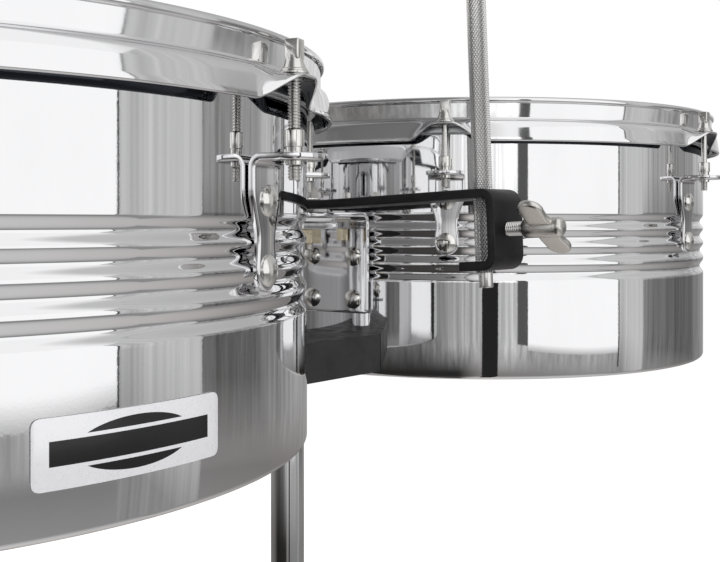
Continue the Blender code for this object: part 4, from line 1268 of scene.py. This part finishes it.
def room_glow(tree):
    """Dome: white ceiling, grey walls with darker stretches, grey ground that darkens towards the feet."""
    unit = vector_calc(tree, "NORMALIZE", own_place(tree))[0]
    split = add(tree, "SeparateXYZ", unit).outputs
    height = split["Z"]
    turn = spread(tree, calc(tree, "ARCTAN2", split["X"], split["Y"]), 0.0, 1.0, -math.pi, math.pi)
    walls = compass(tree, turn, [
        (0, 0.30), (40, 0.34), (62, 0.34), (84, 0.32), (104, 0.15), (121, 0.125), (141, 0.20),
        (168, 0.42), (205, 0.42), (213, 0.62), (228, 0.52), (242, 0.36), (256, 0.15), (285, 0.09),
        (315, 0.14), (340, 0.22)], wall_tone)
    lighter = mixed(tree, 1.0, walls, spread(tree, height, 1.0, 2.2, -0.04, 0.05), "MULTIPLY")
    streaks = noise(tree, 5.0, 4.0, (1.0, 1.0, 0.03), 0.7)
    streaked = mixed(tree, 1.0, lighter, spread(tree, streaks, 0.7, 1.3, 0.35, 0.65), "MULTIPLY")
    depths = [(0.0, 0.70), (0.15, 0.55), (0.27, 0.34), (0.355, 0.24), (0.415, 0.40), (0.45, 0.40),
              (1.0, 1.0)]
    ground = ramp(tree, spread(tree, height, 0.0, 1.0, -1.0, 1.0),
                  [(at, grey(level)) for at, level in depths])
    shade = compass(tree, turn, [(228, 0.9), (238, 0.10), (300, 0.07), (330, 0.6), (30, 0.8), (90, 0.9)],
                    lambda level: (level, level * 0.95, level * 0.92), [(0.0, 1.0), (1.0, 1.0)])
    overhead = compass(tree, turn, [(216, 1.05), (232, 0.55), (245, 0.20), (300, 0.15), (340, 0.4), (100, 0.5),
                                    (140, 0.62), (156, 1.05)], ends=[(0.0, 1.05), (1.0, 1.05)])
    below = mixed(tree, spread(tree, height, 1.0, 0.0, -0.27, -0.155), streaked,
                  mixed(tree, 1.0, ground, shade, "MULTIPLY"))
    return mixed(tree, spread(tree, height, 0.0, 1.0, 0.22, 0.40), below, overhead), None


def make_stage():
    """Dome, the panels that the plating mirrors, and the floor."""
    dome = bmesh.new()
    bmesh.ops.create_uvsphere(dome, u_segments=64, v_segments=32, radius=6.0)
    sphere = stage_object("room_dome", to_mesh(dome, outwards=False), emission("room_glow", room_glow))
    sphere.location = ORIGIN + Vector((0.0, 0.0, 0.08))
    dark = emission("dark_glow", even_glow(0.02))
    left, right, far_right = (-0.95, PANEL_Y), (0.79, PANEL_Y), (0.815, PANEL_Y)
    wall("white_panel", left, right, -0.345, PANEL_TOP, emission("panel_glow", panel_glow), -0.33)
    wall("panel_stile", right, far_right, -0.45, PANEL_TOP, dark)
    wall("lamp_stand", (-0.443, -0.548), (-0.373, -0.618), -0.9, 0.05, dark)
    wall("panel_edge", (-1.18, PANEL_Y), left, -0.30, PANEL_TOP, emission("edge_glow", even_glow(0.10)))
    wall("curtain", far_right, (0.54, -0.70), -0.85, PANEL_TOP, emission("curtain_glow", folds_glow))
    ground = bmesh.new()
    bmesh.ops.create_circle(ground, cap_ends=True, segments=96, radius=14.0)
    pale, tree, shader = new_material("pale_floor", (0.96, 0.96, 0.96), 0.0, 0.9, [
        ("Specular IOR Level", 0.1), ("Emission Color", (1.0, 1.0, 1.0, 1.0)), ("Emission Strength", 0.06)])
    tint(tree, shader, noise(tree, 3.0, 3.0), (0.95, 0.95, 0.95), (0.97, 0.97, 0.97))
    floor = stage_object("floor", to_mesh(ground, outwards=False), pale, glossy_only=False)
    floor.visible_glossy = False


def make_lights():
    """White surroundings and three soft lamps that the plating does not mirror."""
    world = bpy.data.worlds.new("studio")
    bpy.context.scene.world = world
    world.use_nodes = True
    background = world.node_tree.nodes["Background"]
    background.inputs["Color"].default_value = (1.0, 1.0, 1.0, 1.0)
    background.inputs["Strength"].default_value = 1.0
    for name, place, size, power in (("key", (-1.4, -2.2, 1.6), 1.6, 22.0),
                                     ("fill", (1.9, -0.8, 1.5), 1.4, 10.0),
                                     ("top", (0.0, 0.4, 2.4), 2.0, 18.0)):
        lamp = bpy.data.lights.new(name, "AREA")
        lamp.energy = power
        lamp.size = size
        holder = bpy.data.objects.new(name, lamp)
        bpy.context.scene.collection.objects.link(holder)
        holder.location = ORIGIN + Vector(place)
        aim = ORIGIN + Vector((0.0, 0.0, 0.05)) - holder.location
        holder.rotation_mode = "QUATERNION"
        holder.rotation_quaternion = aim.to_track_quat("-Z", "Y")
        holder.visible_glossy = False


def make_camera():
    """Level camera in front and to the left, close to the large drum."""
    data = bpy.data.cameras.new("camera")
    data.lens = 52.61
    data.sensor_width = 36.0
    data.shift_y = -0.0826
    data.clip_start = 0.02
    data.clip_end = 60.0
    camera = bpy.data.objects.new("camera", data)
    bpy.context.scene.collection.objects.link(camera)
    camera.location = ORIGIN + CAMERA_AT
    camera.rotation_euler = (math.pi / 2, 0.0, CAMERA_TURN)
    bpy.context.scene.camera = camera


make_stage()
make_lights()
make_camera()
bpy.context.scene.view_settings.view_transform = "Standard"

bpy.context.view_layer.update()
